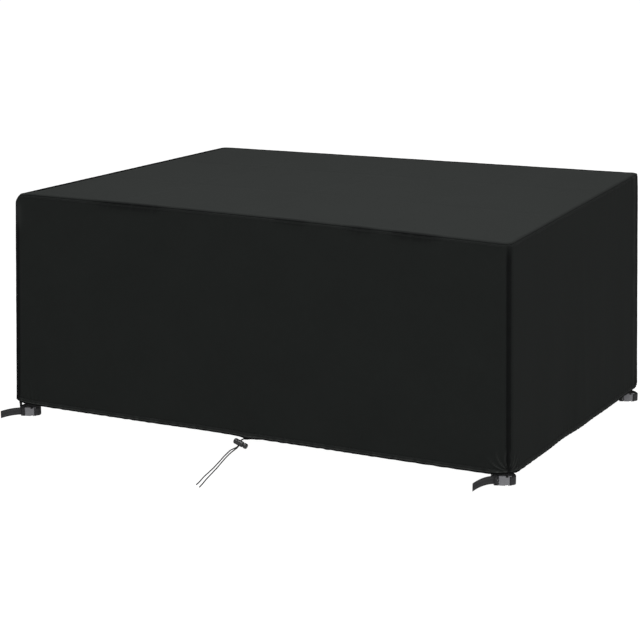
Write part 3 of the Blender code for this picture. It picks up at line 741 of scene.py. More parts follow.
@dataclass
class CoverForm:
    """The cover's sizes and how its box of cloth hangs, as in the solids."""

    half_width: float = 850 * MM
    half_depth: float = 640 * MM
    drop: float = 712 * MM
    top_middle: float = 1 * MM
    corner_radius: float = 26 * MM
    edge_roll: float = 14 * MM
    welt_radius: float = 3.5 * MM
    cloth: float = 0.8 * MM
    cloth_out: float = 1.0 * MM
    sewn_edge: float = 1.0 * MM
    seam_allowance: float = 20 * MM
    hem_allowance: float = 30 * MM
    corner_lift: float = 9 * MM
    lift_reach: float = 38 * MM
    lift_height: float = 150 * MM
    wave_at_hem: float = 4.5 * MM
    wave_at_top: float = 1.0 * MM
    waves: tuple = ((0.5, 1.3, 1.2), (0.3, 3.1, -2.0), (0.2, 4.7, 0.0))
    top_wave: float = 2.0 * MM
    shoulder: tuple = (-13 * MM, 0.0, 0.0)
    shoulder_depth: float = 32 * MM
    front_bow: float = 6 * MM
    settle_left: tuple = (4 * MM, 1 * MM)
    settle_back: float = 1.5 * MM
    settle_reach: float = 35 * MM
    phases: dict[Side, float] = field(default_factory=lambda: {
        Side.FRONT: 1.6, Side.RIGHT: 2.1, Side.BACK: 3.9, Side.LEFT: 5.2})
    top_offsets: dict[Corner, tuple] = field(default_factory=lambda: {
        Corner.FRONT_LEFT: (0, 6, 0), Corner.FRONT_RIGHT: (11, -3, -17),
        Corner.BACK_RIGHT: (-19, -4, 18), Corner.BACK_LEFT: (16, 10, 5)})
    hem_offsets: dict[Corner, tuple] = field(default_factory=lambda: {
        Corner.FRONT_LEFT: (-13, -18, 12), Corner.FRONT_RIGHT: (20, 18, 12),
        Corner.BACK_RIGHT: (12, -5, -24), Corner.BACK_LEFT: (-12, 10, -8)})

    @property
    def hem_line(self) -> float:
        """Return the height of the even hem."""
        return self.top_middle - self.drop

    @property
    def wall_top(self) -> float:
        """Return how far up the cloth, from the hem's edge, its roll over the edge starts."""
        return self.drop - self.edge_roll

    @property
    def top_seam(self) -> float:
        """Return how far up the cloth, from the hem's edge, the top's seam is."""
        return self.wall_top + self.edge_roll * math.pi / 4

    @property
    def eighth(self) -> float:
        """Return the length of the cloth from an upright seam to the flat of a side."""
        return self.corner_radius * math.pi / 4

    def flat_length(self, side: Side) -> float:
        """Return the length of a side's flat."""
        half = self.half_width if side in (Side.FRONT, Side.BACK) else self.half_depth
        return 2 * (half - self.top_middle - self.corner_radius)

    def girth(self, side: Side) -> float:
        """Return the length of a side from seam to seam."""
        return self.flat_length(side) + 2 * self.eighth

    def roll(self, up: Array) -> tuple[Array, Array, Array]:
        """Return how the cloth rolls over the top's edge.

        Args:
            up: Distances up the cloth from the hem's edge.

        Returns:
            The angles it has turned, how far in it lies and how high above the hem line.
        """
        angle = beyond(up, self.wall_top) / self.edge_roll
        inward = self.edge_roll * (1 - np.cos(angle))
        return angle, inward, np.minimum(up, self.wall_top) + self.edge_roll * np.sin(angle)

    def hang(self, even: Array) -> Array:
        """Move points of the even box to where the cloth hangs.

        Args:
            even: Points, with their three values last.

        Returns:
            The moved points.
        """
        x, y, z = even[..., 0], even[..., 1], even[..., 2]
        height = z - self.hem_line
        up = (height / self.drop)[..., None]
        right, back = 0.5 + 0.5 * x / self.half_width, 0.5 + 0.5 * y / self.half_depth
        weights = {
            Corner.FRONT_LEFT: (1 - right) * (1 - back), Corner.FRONT_RIGHT: right * (1 - back),
            Corner.BACK_RIGHT: right * back, Corner.BACK_LEFT: (1 - right) * back}
        away = np.hypot(self.half_width - np.abs(x), self.half_depth - np.abs(y))
        lift = self.corner_lift * bell(away, self.lift_reach)
        front = weights[Corner.FRONT_LEFT] + weights[Corner.FRONT_RIGHT]
        bow = self.front_bow * up[..., 0] * front ** 2 * np.cos(math.pi / 2 * x / self.half_width)
        out = weights[Corner.FRONT_LEFT] * ease(np.clip((self.drop - height) / self.shoulder_depth, 0, 1))
        moved = even + out[..., None] * np.array(self.shoulder)
        moved[..., 2] += lift * beyond(1 - height / self.lift_height, 0) + bow
        for corner, weight in weights.items():
            top = np.array(self.top_offsets[corner]) * MM
            hem = np.array(self.hem_offsets[corner]) * MM
            moved += weight[..., None] * (up * top + (1 - up) * hem)
        top_twelfth = np.clip(up[..., 0] * 12 - 11, 0, 1)
        moved[..., 2] -= self.settle(x, y, back) * top_twelfth
        return moved

    def settle(self, x: Array, y: Array, back: Array) -> Array:
        """Return how far the dressed cloth sinks at the top's left and back edges.

        Args:
            x: Even places to the right.
            y: Even places to the back.
            back: How far back they are, from 0 to 1.

        Returns:
            The distances.
        """
        first, last = self.settle_left
        left = (first + (last - first) * back) * bell(x + self.half_width, self.settle_reach)
        return np.maximum(left, self.settle_back * bell(self.half_depth - y, self.settle_reach))

    def plan(self, side: Side, along: Array) -> tuple[Array, Array]:
        """Return plan points and outward normals along a side.

        Args:
            side: Which side.
            along: Distances from its first upright seam.

        Returns:
            The points and the normals, two values each.
        """
        flat = self.flat_length(side)
        facing = FACINGS[side]
        before = np.minimum(along - self.eighth, 0)
        after = beyond(along - self.eighth, flat)
        angle = facing + (before + after) / self.corner_radius
        middle = np.clip(along - self.eighth, 0, flat) - flat / 2
        normal = np.stack([np.cos(angle), np.sin(angle)], axis=-1)
        out = np.array([math.cos(facing), math.sin(facing)])
        ahead = np.array([-out[1], out[0]])
        half = self.half_depth if side in (Side.FRONT, Side.BACK) else self.half_width
        centre = out * (half - self.top_middle - self.corner_radius)
        return centre + middle[..., None] * ahead + normal * self.corner_radius, normal

    def wave(self, side: Side, across: Array, height: Array) -> Array:
        """Return how far a side stands out of true.

        Args:
            side: Which side.
            across: From 0 to 1 along its flat.
            height: Above the hem line.

        Returns:
            The distances.
        """
        up = np.clip(height / self.drop, 0, 1)
        size = self.wave_at_top + (self.wave_at_hem - self.wave_at_top) * (1 - up) ** 2
        shape = sum(share * np.sin(turns * 2 * math.pi * across + count * self.phases[side] + lean * up)
                    for count, (share, turns, lean) in enumerate(self.waves, 1))
        ends = np.sin(math.pi * np.clip(across, 0, 1)) ** 0.8
        return size * shape * ends * np.sqrt(beyond(np.cos(math.pi / 2 * up), 0))


@dataclass
class Puckers:
    """Small gathers that a stitched line draws into the cloth beside it."""

    seed: int
    gather: float = 0.55 * MM
    length: float = 16 * MM
    reach: float = 24 * MM
    waves: int = 5

    def row(self, along: Array, slope: float | Array = 0.0) -> Array:
        """Return an uneven ripple along a line, from about -1 to 1.

        Args:
            along: Distances along the line.
            slope: How far the ripple is shifted, to make it lean.

        Returns:
            The ripple.
        """
        rng = np.random.default_rng(self.seed)
        total = np.zeros_like(along)
        for _ in range(self.waves):
            length = self.length * rng.uniform(0.7, 1.7)
            wobble = rng.uniform(0.2, 1.1) * np.sin(
                along / (length * rng.uniform(3.1, 7.3)) + rng.uniform(0, 6))
            beat = 0.5 + 0.5 * np.sin(along / (length * rng.uniform(1.9, 4.1)) + rng.uniform(0, 6))
            total += beat * np.sin(2 * math.pi * (along + slope) / length + wobble * 2 + rng.uniform(0, 6))
        return total / 2.1

    def ripples(self, along: Array, slope: float | Array = 0.0) -> Array:
        """Return the ripple as heights, with this gather's own size."""
        return self.gather * self.row(along, slope)


@dataclass
class PaintedSeamShade:
    """How much painted shade the bound seams get: unevenly along the top, and evenly up the corners."""

    form: CoverForm
    # front_folds gives the place, width and strength of each painted fold shadow under the front's top seam
    front_folds: tuple = ((0.435, 0.135, 1.0), (0.66, 0.06, 0.4), (1.00, 0.06, 0.7), (1.23, 0.05, 0.75),
                          (1.40, 0.08, 1.0))
    # plain, on_top, reach, depth and fade set the strength and reach of the painted seam shade at each side
    # and corner
    plain: dict[Side, float] = field(default_factory=lambda: {
        Side.FRONT: 0.08, Side.RIGHT: 0.05, Side.BACK: 1.0, Side.LEFT: 1.0})
    on_top: dict[Side, float] = field(default_factory=lambda: {
        Side.FRONT: 5 * MM, Side.RIGHT: 5 * MM, Side.BACK: 12 * MM, Side.LEFT: 10 * MM})
    reach: dict[Corner, float] = field(default_factory=lambda: {
        Corner.FRONT_LEFT: 17 * MM, Corner.FRONT_RIGHT: 6 * MM, Corner.BACK_RIGHT: 30 * MM,
        Corner.BACK_LEFT: 12 * MM})
    depth: dict[Corner, float] = field(default_factory=lambda: {
        Corner.FRONT_LEFT: 0.85, Corner.FRONT_RIGHT: 0.72, Corner.BACK_RIGHT: 0.9, Corner.BACK_LEFT: 0.8})
    fade: dict[Corner, tuple] = field(default_factory=lambda: {
        Corner.FRONT_LEFT: (30 * MM, 70 * MM, 0.25), Corner.FRONT_RIGHT: (6 * MM, 32 * MM, 0.35)})
    reach_behind: float = 12 * MM
    beside: float = 3 * MM
    ridge_place: float = 66 * MM
    groove_place: float = 47 * MM
    groove_width: float = 5 * MM
    groove_shade: float = 0.4

    def top(self, side: Side, along: Array) -> Array:
        """Return how much painted shade the top seam gets along a side, from 0 to 1.

        Args:
            side: Which side.
            along: Distances from the side's first upright seam.

        Returns:
            The shares.
        """
        shade = np.full_like(along, self.plain[side])
        if side is Side.FRONT:
            for middle, width, depth in self.front_folds:
                shade = np.maximum(shade, depth * bell(along - middle, width, 4))
            uneven = Puckers(61, length=37 * MM).row(along) + 0.6 * Puckers(63, length=13 * MM).row(along)
            shade = shade * (1 + 0.26 * uneven)
        return np.clip(shade, 0, 1)

    def upright(self, corner: Corner, up: Array) -> Array:
        """Return how much painted shade an upright seam gets at each height, from 0 to 1.

        Args:
            corner: Which corner.
            up: Distances from the hem's edge.

        Returns:
            The shares.
        """
        uneven = Puckers(90 + list(Corner).index(corner), length=55 * MM).row(up)
        start, length, least = self.fade.get(corner, (0.0, 1 * MM, 1.0))
        fade = np.clip((self.form.drop - start - up) / length, least, 1)
        return self.depth[corner] * fade * (1 - 0.16 * (0.5 + 0.5 * uneven))

    def corners(self, side: Side, along: Array, up: Array) -> Array:
        """Return the painted shade on the cloth beside a side's two upright seams, and in the right side's
        groove, from 0 to 1.

        Args:
            side: Which side.
            along: Distances from the side's first upright seam.
            up: Distances from the hem's edge.

        Returns:
            The shares.
        """
        shade = np.zeros_like(along)
        for corner, gap in zip(ENDS[side], (along, self.form.girth(side) - along)):
            reach = min(self.reach[corner], self.reach_behind) if side is Side.BACK else self.reach[corner]
            shade = np.maximum(shade, self.upright(corner, up) * bell(beyond(gap, reach), self.beside))
        # Painted shade in a groove on the right side, beside its pleat
        if side is Side.RIGHT:
            groove = self.form.girth(side) - along - self.groove_place
            shade = np.maximum(shade, self.groove_shade * bell(groove, self.groove_width))
        return shade


@dataclass
class SidePanel:
    """One hanging panel with its turned hem, puckers and stitching."""

    form: CoverForm
    side: Side
    wardrobe: Wardrobe
    column_step: float = 4.6 * MM
    fine_step: float = 2.7 * MM
    fine_reach: float = 92 * MM
    wall_rows: tuple = (105 * MM, 14 * MM, 44)
    hem_height: float = 16.5 * MM
    hem_bulge: float = 1.7 * MM
    bead_height: float = 3.8 * MM
    bead_bulge: float = 2.9 * MM
    bead_width: float = 2.4 * MM
    fold_height: float = 7.6 * MM
    groove: float = 0.6 * MM
    corner_reach: float = 95 * MM
    lock_place: float = 12 * MM
    lock_reach: float = 75 * MM
    seam_tuck: float = 2.9 * MM
    sewn_tuck: float = 0.8 * MM
    pleat_tuck: float = 3.2 * MM
    pleat_height: float = 2.4 * MM
    swell_start: float = 5.9 * MM
    hood_place: float = 21 * MM
    edge_reach: float = 5 * MM
    exit_place: float = 15 * MM
    exit_reach: float = 27 * MM
    exit_dip: float = 3.9 * MM
    exit_dip_height: float = 12 * MM
    exit_swell: float = 3.6 * MM
    exit_swell_height: float = 11 * MM
    stitch_gap: float = 8.5 * MM
    stitch_lift: float = 0.2 * MM

    @property
    def seed(self) -> int:
        """Return this side's own number for what is uneven."""
        return 11 + list(Side).index(self.side)

    @property
    def girth(self) -> float:
        """Return the length of the panel from seam to seam."""
        return self.form.girth(self.side)

    def rows(self) -> Array:
        """Return the distances of the rows up the cloth from the hem's edge."""
        hem = np.array([0, 0.6, 1.4, 2.3, 3.2, 4.1, 5.0, 5.9, 6.8, 7.6, 8.6, 10.2, 12.4, 14.4, 15.6, 16.3,
                        16.9, 17.9, 19.6, 22, 25, 29, 34, 40, 47, 55, 64, 74, 85, 96]) * MM
        first, gap, count = self.wall_rows
        wall = np.linspace(first, self.form.wall_top - gap, count)
        top = self.form.wall_top + np.array([-11, -8, -5, -2, 0, 2.2, 4.2, 6.2]) * MM
        edge = self.form.top_seam - np.array([self.seam_tuck, self.form.sewn_edge])
        return np.concatenate([hem, wall, top, edge])

    def columns(self) -> Array:
        """Return the distances of the columns along the cloth from its first seam."""
        first = self.fine_reach + self.column_step
        inner = np.linspace(first, self.girth - first, int((self.girth - 2 * first) / self.column_step) + 1)
        fine = np.arange(self.column_step, self.fine_reach, self.fine_step)
        edge = np.concatenate([[self.form.sewn_edge, self.seam_tuck], fine])
        return np.concatenate([edge, inner, self.girth - edge[::-1]])

    def free(self, along: Array, up: Array) -> Array:
        """Return 1 on the open cloth, falling to 0 where its edge is sewn in under the piping."""
        to_seam = np.minimum(np.minimum(along, self.girth - along), self.form.top_seam - up)
        return ease(np.clip((to_seam - 1.2 * MM) / (2.8 * MM), 0, 1))

    def relief(self, along: Array, up: Array) -> Array:
        """Return how far the dressed cloth stands out from the solid's face."""
        return (self.hem_relief(along, up) + self.seam_relief(along, up) + self.top_relief(along, up)
                + self.long_folds(along, up) + self.crumple(along, up))

    def hem_relief(self, along: Array, up: Array) -> Array:
        """Return the relief of the turned hem: its bead, its casing, its stitched lines and its gathers.

        Args:
            along: Distances from the first seam.
            up: Distances from the hem's edge.

        Returns:
            The distances.
        """
        stitch, fold = self.hem_height, self.fold_height
        near_corner = bell(np.minimum(along, self.girth - along), self.corner_reach)
        near_lock = 0 * along
        if self.side is Side.FRONT:
            near_lock = bell(along - self.girth / 2 - self.lock_place, self.lock_reach)
        hem = Puckers(self.seed, gather=0.62 * MM)
        to_corner = np.where(along < self.girth / 2, 1.0, -1.0) * near_corner * 0.7
        lean = (0.30 * np.sin(along / (210 * MM) + self.seed) + to_corner) * (up - stitch)
        ripple = hem.row(along, lean)
        small = Puckers(self.seed + 20, length=9 * MM).row(along, 0.2 * up)
        bead = self.bead_bulge * bell(up - self.bead_height, self.bead_width)
        bead = bead * (0.82 + 0.26 * ripple + 0.16 * small)
        rise = np.clip((up - fold) / (stitch - fold), 0, 1)
        casing = self.hem_bulge * np.sin(math.pi * rise) ** 0.7 * (1 + 0.3 * ripple + 0.2 * small)
        grooves = -self.groove * (bell(up - stitch, 1.6 * MM) + 0.7 * bell(up - fold, 1.2 * MM))
        reach = hem.reach * (0.75 + 1.7 * near_corner + 0.8 * near_lock)
        above = np.exp(-beyond(up, stitch) / reach) * np.clip((up - 4 * MM) / (8 * MM), 0.35, 1)
        gathers = hem.gather * (1 + 1.9 * near_corner + 1.3 * near_lock) * ripple * above
        return casing + grooves + bead + gathers

    def seam_relief(self, along: Array, up: Array) -> Array:
        """Return the relief beside the two upright seams: small puckers, and the cloth drawn in.

        Args:
            along: Distances from the first seam.
            up: Distances from the hem's edge.

        Returns:
            The distances.
        """
        from_corner = np.minimum(along, self.girth - along)
        apart = np.where(along > self.girth / 2, 0.31, 0.0)
        puckers = Puckers(self.seed + 40, gather=0.42 * MM, length=22 * MM).ripples(up + 3.1 * apart)
        tuck = -self.sewn_tuck * bell(from_corner, 4.2 * MM)
        if self.side is Side.RIGHT:
            tuck = tuck - self.pleat_tuck * bell(self.girth - along, 30 * MM, 4)
        return puckers * np.exp(-from_corner / (16 * MM)) + tuck

    def top_relief(self, along: Array, up: Array) -> Array:
        """Return the relief under the top seam: small puckers, a swell, and a hood where the painted seam
        shade is darkest.

        Args:
            along: Distances from the first seam.
            up: Distances from the hem's edge.

        Returns:
            The distances.
        """
        gap = self.form.drop - up
        puckers = Puckers(self.seed + 80, gather=0.4 * MM, length=26 * MM).ripples(along, 0.2 * gap)
        shade = PaintedSeamShade(self.form).top(self.side, along)
        swell = (1.5 - 1.3 * shade) * MM * bell(beyond(gap, self.swell_start), self.edge_reach)
        hood = 1.2 * MM * shade * bell(gap - self.hood_place, self.edge_reach)
        return puckers * np.exp(-beyond(gap, 6 * MM) / (22 * MM)) + swell + hood

    def crumple(self, along: Array, up: Array) -> Array:
        """Return the creases that run out from the gathered corners and from the drawcord's way out.

        Args:
            along: Distances from the first seam.
            up: Distances from the hem's edge.

        Returns:
            The distances.
        """
        start, end = ENDS[self.side]
        points = [(along, start), (self.girth - along, end)]
        if self.side is Side.FRONT:
            points.append((along - self.girth / 2 - 16 * MM, None))
        total = np.zeros_like(along)
        for index, (gap, corner) in enumerate(points):
            depth = {Corner.FRONT_RIGHT: 2.25, None: 0.9}.get(corner, 0.75) * MM
            reach = (56 if corner is Corner.FRONT_RIGHT else 40) * MM
            rise = up - 9 * MM
            away = np.hypot(gap, rise)
            angle = np.arctan2(rise, gap)
            turn = self.seed + 2.3 * index
            creases = (np.sin(15 * angle + 1.7 * np.sin(away / (15 * MM)) + turn)
                       + 0.6 * np.sin(27 * angle - away / (8 * MM) + 2 * turn))
            total += depth * creases * bell(away, reach) * away / (away + 9 * MM)
        return total * np.clip(up / (7 * MM), 0.25, 1)

    def painted_highlight(self, along: Array, up: Array) -> Array:
        """Return the painted highlight along the hem, on the creases' crests and on the folds, from 0 to 1.

        Args:
            along: Distances from the first seam.
            up: Distances from the hem's edge.

        Returns:
            The shares.
        """
        patchy = 0.5 + 0.5 * Puckers(self.seed + 30, length=19 * MM).row(along)
        broad = 0.5 + 0.5 * Puckers(self.seed + 33, length=70 * MM).row(along)
        # Painted highlight along the hem's fold line and, fainter, along its casing
        hem = 0.78 * np.clip(0.22 + patchy * (0.35 + broad), 0, 1) * bell(up - self.fold_height, 2.0 * MM, 4)
        casing = 0.2 * np.clip(patchy * broad * 1.4 - 0.1, 0, 1) * bell(up - 13 * MM, 2.2 * MM)
        # Painted highlight on the crumpled creases' crests
        crests = 0.5 * np.clip(self.crumple(along, up) / (1.5 * MM) - 0.3, 0, 1)
        pale = np.maximum(np.maximum(hem, casing), crests)
        # Painted highlight on the right side's pleat ridge
        if self.side is Side.RIGHT:
            uneven = 0.6 + 0.4 * Puckers(51, length=90 * MM).row(up)
            place = self.girth - along - PaintedSeamShade(self.form).ridge_place
            pale = np.maximum(pale, 0.16 * uneven * bell(place, 13 * MM))
        # Painted highlight on the front's left shoulder
        if self.side is Side.FRONT:
            shoulder = bell(along - 10 * MM, 17 * MM) * bell(up - self.form.drop + 72 * MM, 42 * MM, 4)
            pale = np.maximum(pale, 0.24 * shoulder)
        return np.clip(pale, 0, 1)

    def long_folds(self, along: Array, up: Array) -> Array:
        """Return the soft upright folds that a stored cover keeps.

        Args:
            along: Distances from the first seam.
            up: Distances from the hem's edge.

        Returns:
            The distances.
        """
        rng = np.random.default_rng(self.seed + 7)
        total = np.zeros_like(along)
        for _ in range(9):
            middle = rng.uniform(0.08, 0.92) * self.girth + rng.uniform(-0.10, 0.10) * up
            width = rng.uniform(14, 46) * MM
            depth = rng.uniform(-0.7, 0.8) * MM
            fade = np.clip(1.1 - up / (self.form.drop * rng.uniform(0.5, 1.3)), 0, 1)
            total += depth * fade * bell(along - middle, width)
        total *= np.clip(np.minimum(along, self.girth - along) / (60 * MM), 0, 1)
        if self.side is Side.RIGHT:
            place = self.girth - along - PaintedSeamShade(self.form).ridge_place
            total += self.pleat_height * bell(place, 14 * MM)
        return total * np.clip(up / (30 * MM), 0, 1)

    def place(self, along: Array, up: Array, lift: float = 0.0) -> Array:
        """Return where points of the cut cloth hang.

        Args:
            along: Distances from the first seam.
            up: Distances from the hem's edge.
            lift: How far above the cloth's face.

        Returns:
            The points.
        """
        form = self.form
        angle, inward, height = form.roll(up)
        plan, normal = form.plan(self.side, along)
        even = at_height(plan - normal * inward[..., None], form.hem_line + height)
        facing = at_height(normal * np.cos(angle)[..., None], np.sin(angle))
        across = (along - form.eighth) / form.flat_length(self.side)
        inside = (across > 0) & (across < 1) & (angle <= 0)
        bulge = np.where(inside, form.wave(self.side, np.clip(across, 0, 1), height), 0)
        stand = form.cloth_out + bulge + self.relief(along, up) * self.free(along, up) + lift
        uneven = Puckers(self.seed + 3, length=34 * MM).row(along)
        placed = form.hang(even) + facing * stand[..., None]
        placed[..., 2] -= np.clip(np.exp(-up / (9 * MM)) * 0.9 * MM * uneven, -1.2 * MM, 1.0 * MM)
        if self.side is Side.FRONT:
            by_exit = bell(along - self.girth / 2 - self.exit_place, self.exit_reach)
            placed += facing * (self.exit_swell * by_exit * bell(up, self.exit_swell_height))[..., None]
            placed[..., 2] -= self.exit_dip * by_exit * np.exp(-up / self.exit_dip_height)
        return placed

    def painted_seam_shade(self, along: Array, up: Array) -> Array:
        """Return the painted shade on the cloth beside its seams, along its hem's edge and along its hem's
        stitched line.

        Args:
            along: Distances from the first seam.
            up: Distances from the hem's edge.

        Returns:
            The shares.
        """
        shades = PaintedSeamShade(self.form)
        shade = shades.top(self.side, along)
        gap = self.form.drop - up
        # Painted fold shadow under the top seam, patchy along the front
        soft = (0.14 + 0.34 * shade) * bell(beyond(gap, 7 * MM + 11 * MM * shade), 5 * MM)
        tight = 0.62 * shade * bell(beyond(gap, 8 * MM), 4 * MM)
        # Painted shade along the hem's bottom edge and along its stitched line
        edge = bell(up, 5.2 * MM, 6) + 0.3 * bell(up - self.hem_height, 1.2 * MM)
        corners = shades.corners(self.side, along, up)
        return np.clip(np.maximum(np.maximum(corners, np.maximum(soft, tight)), edge), 0, 1)

    def build(self) -> Object:
        """Return the dressed panel."""
        along, up = np.meshgrid(self.columns(), self.rows(), indexing="ij")
        name = f"cloth_{self.side.value}"
        made = add_mesh(name, self.place(along, up), grid_faces(*along.shape), self.wardrobe.cloth)
        lay_map(made.data, np.stack([along, up], axis=-1))
        # The painted seam shade and the painted highlight, as marks on the mesh
        mark(made.data, "painted_seam_shade", self.painted_seam_shade(along, up))
        mark(made.data, "painted_highlight", self.painted_highlight(along, up))
        thicken(made, self.form.cloth)
        own(made, COVER_BODY, "coated_cloth", f"{self.side.value}_panel")
        flat = (self.girth + self.form.seam_allowance, self.form.drop + self.form.hem_allowance)
        return made

    def stitch_lines(self) -> list[Array]:
        """Return the lines that stitches run along, on the cloth's face."""
        along = np.arange(8 * MM, self.girth - 8 * MM, 1.5 * MM)
        up = np.arange(20 * MM, self.form.drop - 22 * MM, 2 * MM)
        hem = self.place(along, np.full_like(along, self.hem_height + 0.4 * MM), 0.25 * MM)
        high = self.form.wall_top + 0.2 * self.form.edge_roll
        top = self.place(along, np.full_like(along, high), self.stitch_lift)
        sides = [self.place(np.full_like(up, start), up, self.stitch_lift)
                 for start in (self.stitch_gap, self.girth - self.stitch_gap)]
        return [hem, *sides, top]


@dataclass
class TopPanel:
    """The flat top with its soft rolled edge."""

    form: CoverForm
    wardrobe: Wardrobe
    cells: tuple[int, int] = (150, 112)
    roll_start: float = 0.9785
    dip_left: float = 4.8 * MM
    dip_back: float = 4.3 * MM
    dip_start: float = 25 * MM
    dip_fade: float = 60 * MM
    dip_flat: float = 9 * MM
    dip_reach: float = 20 * MM
    # Strengths of the painted shade beside the top's right and left edges, then its front and back edges
    end_shades: tuple[float, float] = (0.1, 0.75)
    across_shades: tuple[float, float] = (0.5, 0.75)
    ridges: tuple = (-0.43, 0.02, 0.44)
    hollows: tuple = (-0.21, 0.22)

    def levels(self, count: int) -> Array:
        """Return grid levels from -1 to 1, closer together on the rolled edge.

        Args:
            count: How many cells between the rolled edges.

        Returns:
            The levels.
        """
        inner = np.linspace(-0.938, 0.938, count + 1)
        edge = np.array([1.0, 0.9965, 0.993, 0.989, 0.9845, self.roll_start, 0.9715, 0.964, 0.956, 0.9475])
        return np.concatenate([-edge, inner, edge[::-1]])

    def outline(self, a: Array, b: Array) -> tuple[Array, Array]:
        """Return the wall's plan point and normal in the direction of each grid point.

        Args:
            a: Grid places along X.
            b: Grid places along Y.

        Returns:
            The points and the normals.
        """
        form = self.form
        reach = np.maximum(np.maximum(np.abs(a), np.abs(b)), 1e-9)
        half = np.array([form.half_width, form.half_depth]) - form.top_middle
        box = np.stack([a / reach, b / reach], axis=-1) * half
        centre = np.clip(box, -(half - form.corner_radius), half - form.corner_radius)
        normal = unit(box - centre)
        return centre + normal * form.corner_radius, normal

    def build(self) -> Object:
        """Return the dressed top."""
        form = self.form
        a, b = np.meshgrid(self.levels(self.cells[0]), self.levels(self.cells[1]), indexing="ij")
        reach = np.maximum(np.abs(a), np.abs(b))
        wall, normal = self.outline(a, b)
        share = np.clip((reach - self.roll_start) / (1 - self.roll_start), 0, 1)
        angle = math.pi / 2 - share * (math.pi / 4 - form.sewn_edge / form.edge_roll)
        inward = form.edge_roll * (1 - np.cos(angle))
        flat = (wall - normal * form.edge_roll) * (reach / self.roll_start)[..., None]
        plan = np.where((share > 0)[..., None], wall - normal * inward[..., None], flat)
        even = at_height(plan, form.top_middle - form.edge_roll * (1 - np.sin(angle)))
        placed = form.hang(even)
        facing = at_height(normal * np.cos(angle)[..., None], np.sin(angle))
        inner = np.clip(1 - reach / self.roll_start, 0, 1)
        sag = form.top_wave * inner * np.sin(5.2 * placed[..., 0] + 0.6) * np.cos(4.1 * placed[..., 1])
        folds = self.folds(placed, inner)
        half = np.where(np.abs(a) > np.abs(b), form.half_width, form.half_depth)
        edge_gap = np.where(share > 0, inward, form.edge_roll + half * (1 - reach / self.roll_start))
        around = np.arctan2(b, a) * 0.9 + placed[..., 0] - placed[..., 1]
        puckers = Puckers(71, gather=0.38 * MM, length=25 * MM).ripples(around)
        swell = 1.3 * MM * bell(edge_gap - 4 * MM, 5 * MM)
        free = np.clip((1 - share) / 0.2, 0, 1)
        relief = (puckers * np.exp(-edge_gap / (20 * MM)) + swell) * free
        placed += facing * (form.cloth_out + relief)[..., None]
        placed[..., 2] += sag + folds - self.dip(even)
        made = add_mesh("cloth_top", placed, grid_faces(*a.shape), self.wardrobe.cloth)
        lay_map(made.data, placed[..., :2])
        # Painted shade beside the top's seams, as a mark on the mesh
        mark(made.data, "painted_seam_shade", self.painted_edge_shade(a, b))
        thicken(made, form.cloth)
        own(made, COVER_BODY, "coated_cloth", "top_panel")
        return made

    def dip(self, even: Array) -> Array:
        """Return how far the top sinks beside the piping that stands proud of it at the left and the back.

        Args:
            even: Points of the even box.

        Returns:
            The depths.
        """
        left, front = even[..., 0] + self.form.half_width, even[..., 1] + self.form.half_depth
        right, back = 2 * self.form.half_width - left, 2 * self.form.half_depth - front
        total = np.zeros_like(left)
        for depth, edge, inner in ((self.dip_left, left, front), (self.dip_back, back, right)):
            fade = ease(np.clip((inner - self.dip_start) / self.dip_fade, 0, 1))
            total = np.maximum(total, depth * fade * bell(beyond(edge, self.dip_flat), self.dip_reach))
        return total

    def painted_edge_shade(self, a: Array, b: Array) -> Array:
        """Return the painted shade on the top beside its seams, from 0 to 1.

        Args:
            a: Grid places along X.
            b: Grid places along Y.

        Returns:
            The shares.
        """
        form, shades = self.form, PaintedSeamShade(self.form)

        def near(side: Side, gap: Array) -> Array:
            """Return how near points are to one side's seam, from 0 to 1."""
            soft = (8 if side in (Side.BACK, Side.LEFT) else 4) * MM
            return bell(beyond(gap, shades.on_top[side]), soft)

        right, left = self.end_shades
        ends_gap, across_gap = form.half_width * (1 - np.abs(a)), form.half_depth * (1 - np.abs(b))
        ends = np.where(a > 0, right * near(Side.RIGHT, ends_gap), left * near(Side.LEFT, ends_gap))
        front, back = self.across_shades
        front = front * shades.top(Side.FRONT, (a + 1) * form.half_width) * near(Side.FRONT, across_gap)
        return np.maximum(ends, np.where(b < 0, front, back * near(Side.BACK, across_gap)))

    def folds(self, placed: Array, inner: Array) -> Array:
        """Return the faint creases that folding for storage left in the top.

        Args:
            placed: The points of the top.
            inner: From 0 at the rolled edge to 1 in the middle.

        Returns:
            Their heights.
        """
        ridges = sum(0.9 * MM * bell(placed[..., 0] - place, 9 * MM) for place in self.ridges)
        hollows = sum(0.8 * MM * bell(placed[..., 1] - place, 10 * MM) for place in self.hollows)
        return (ridges - hollows) * np.clip(inner * 12, 0, 1)


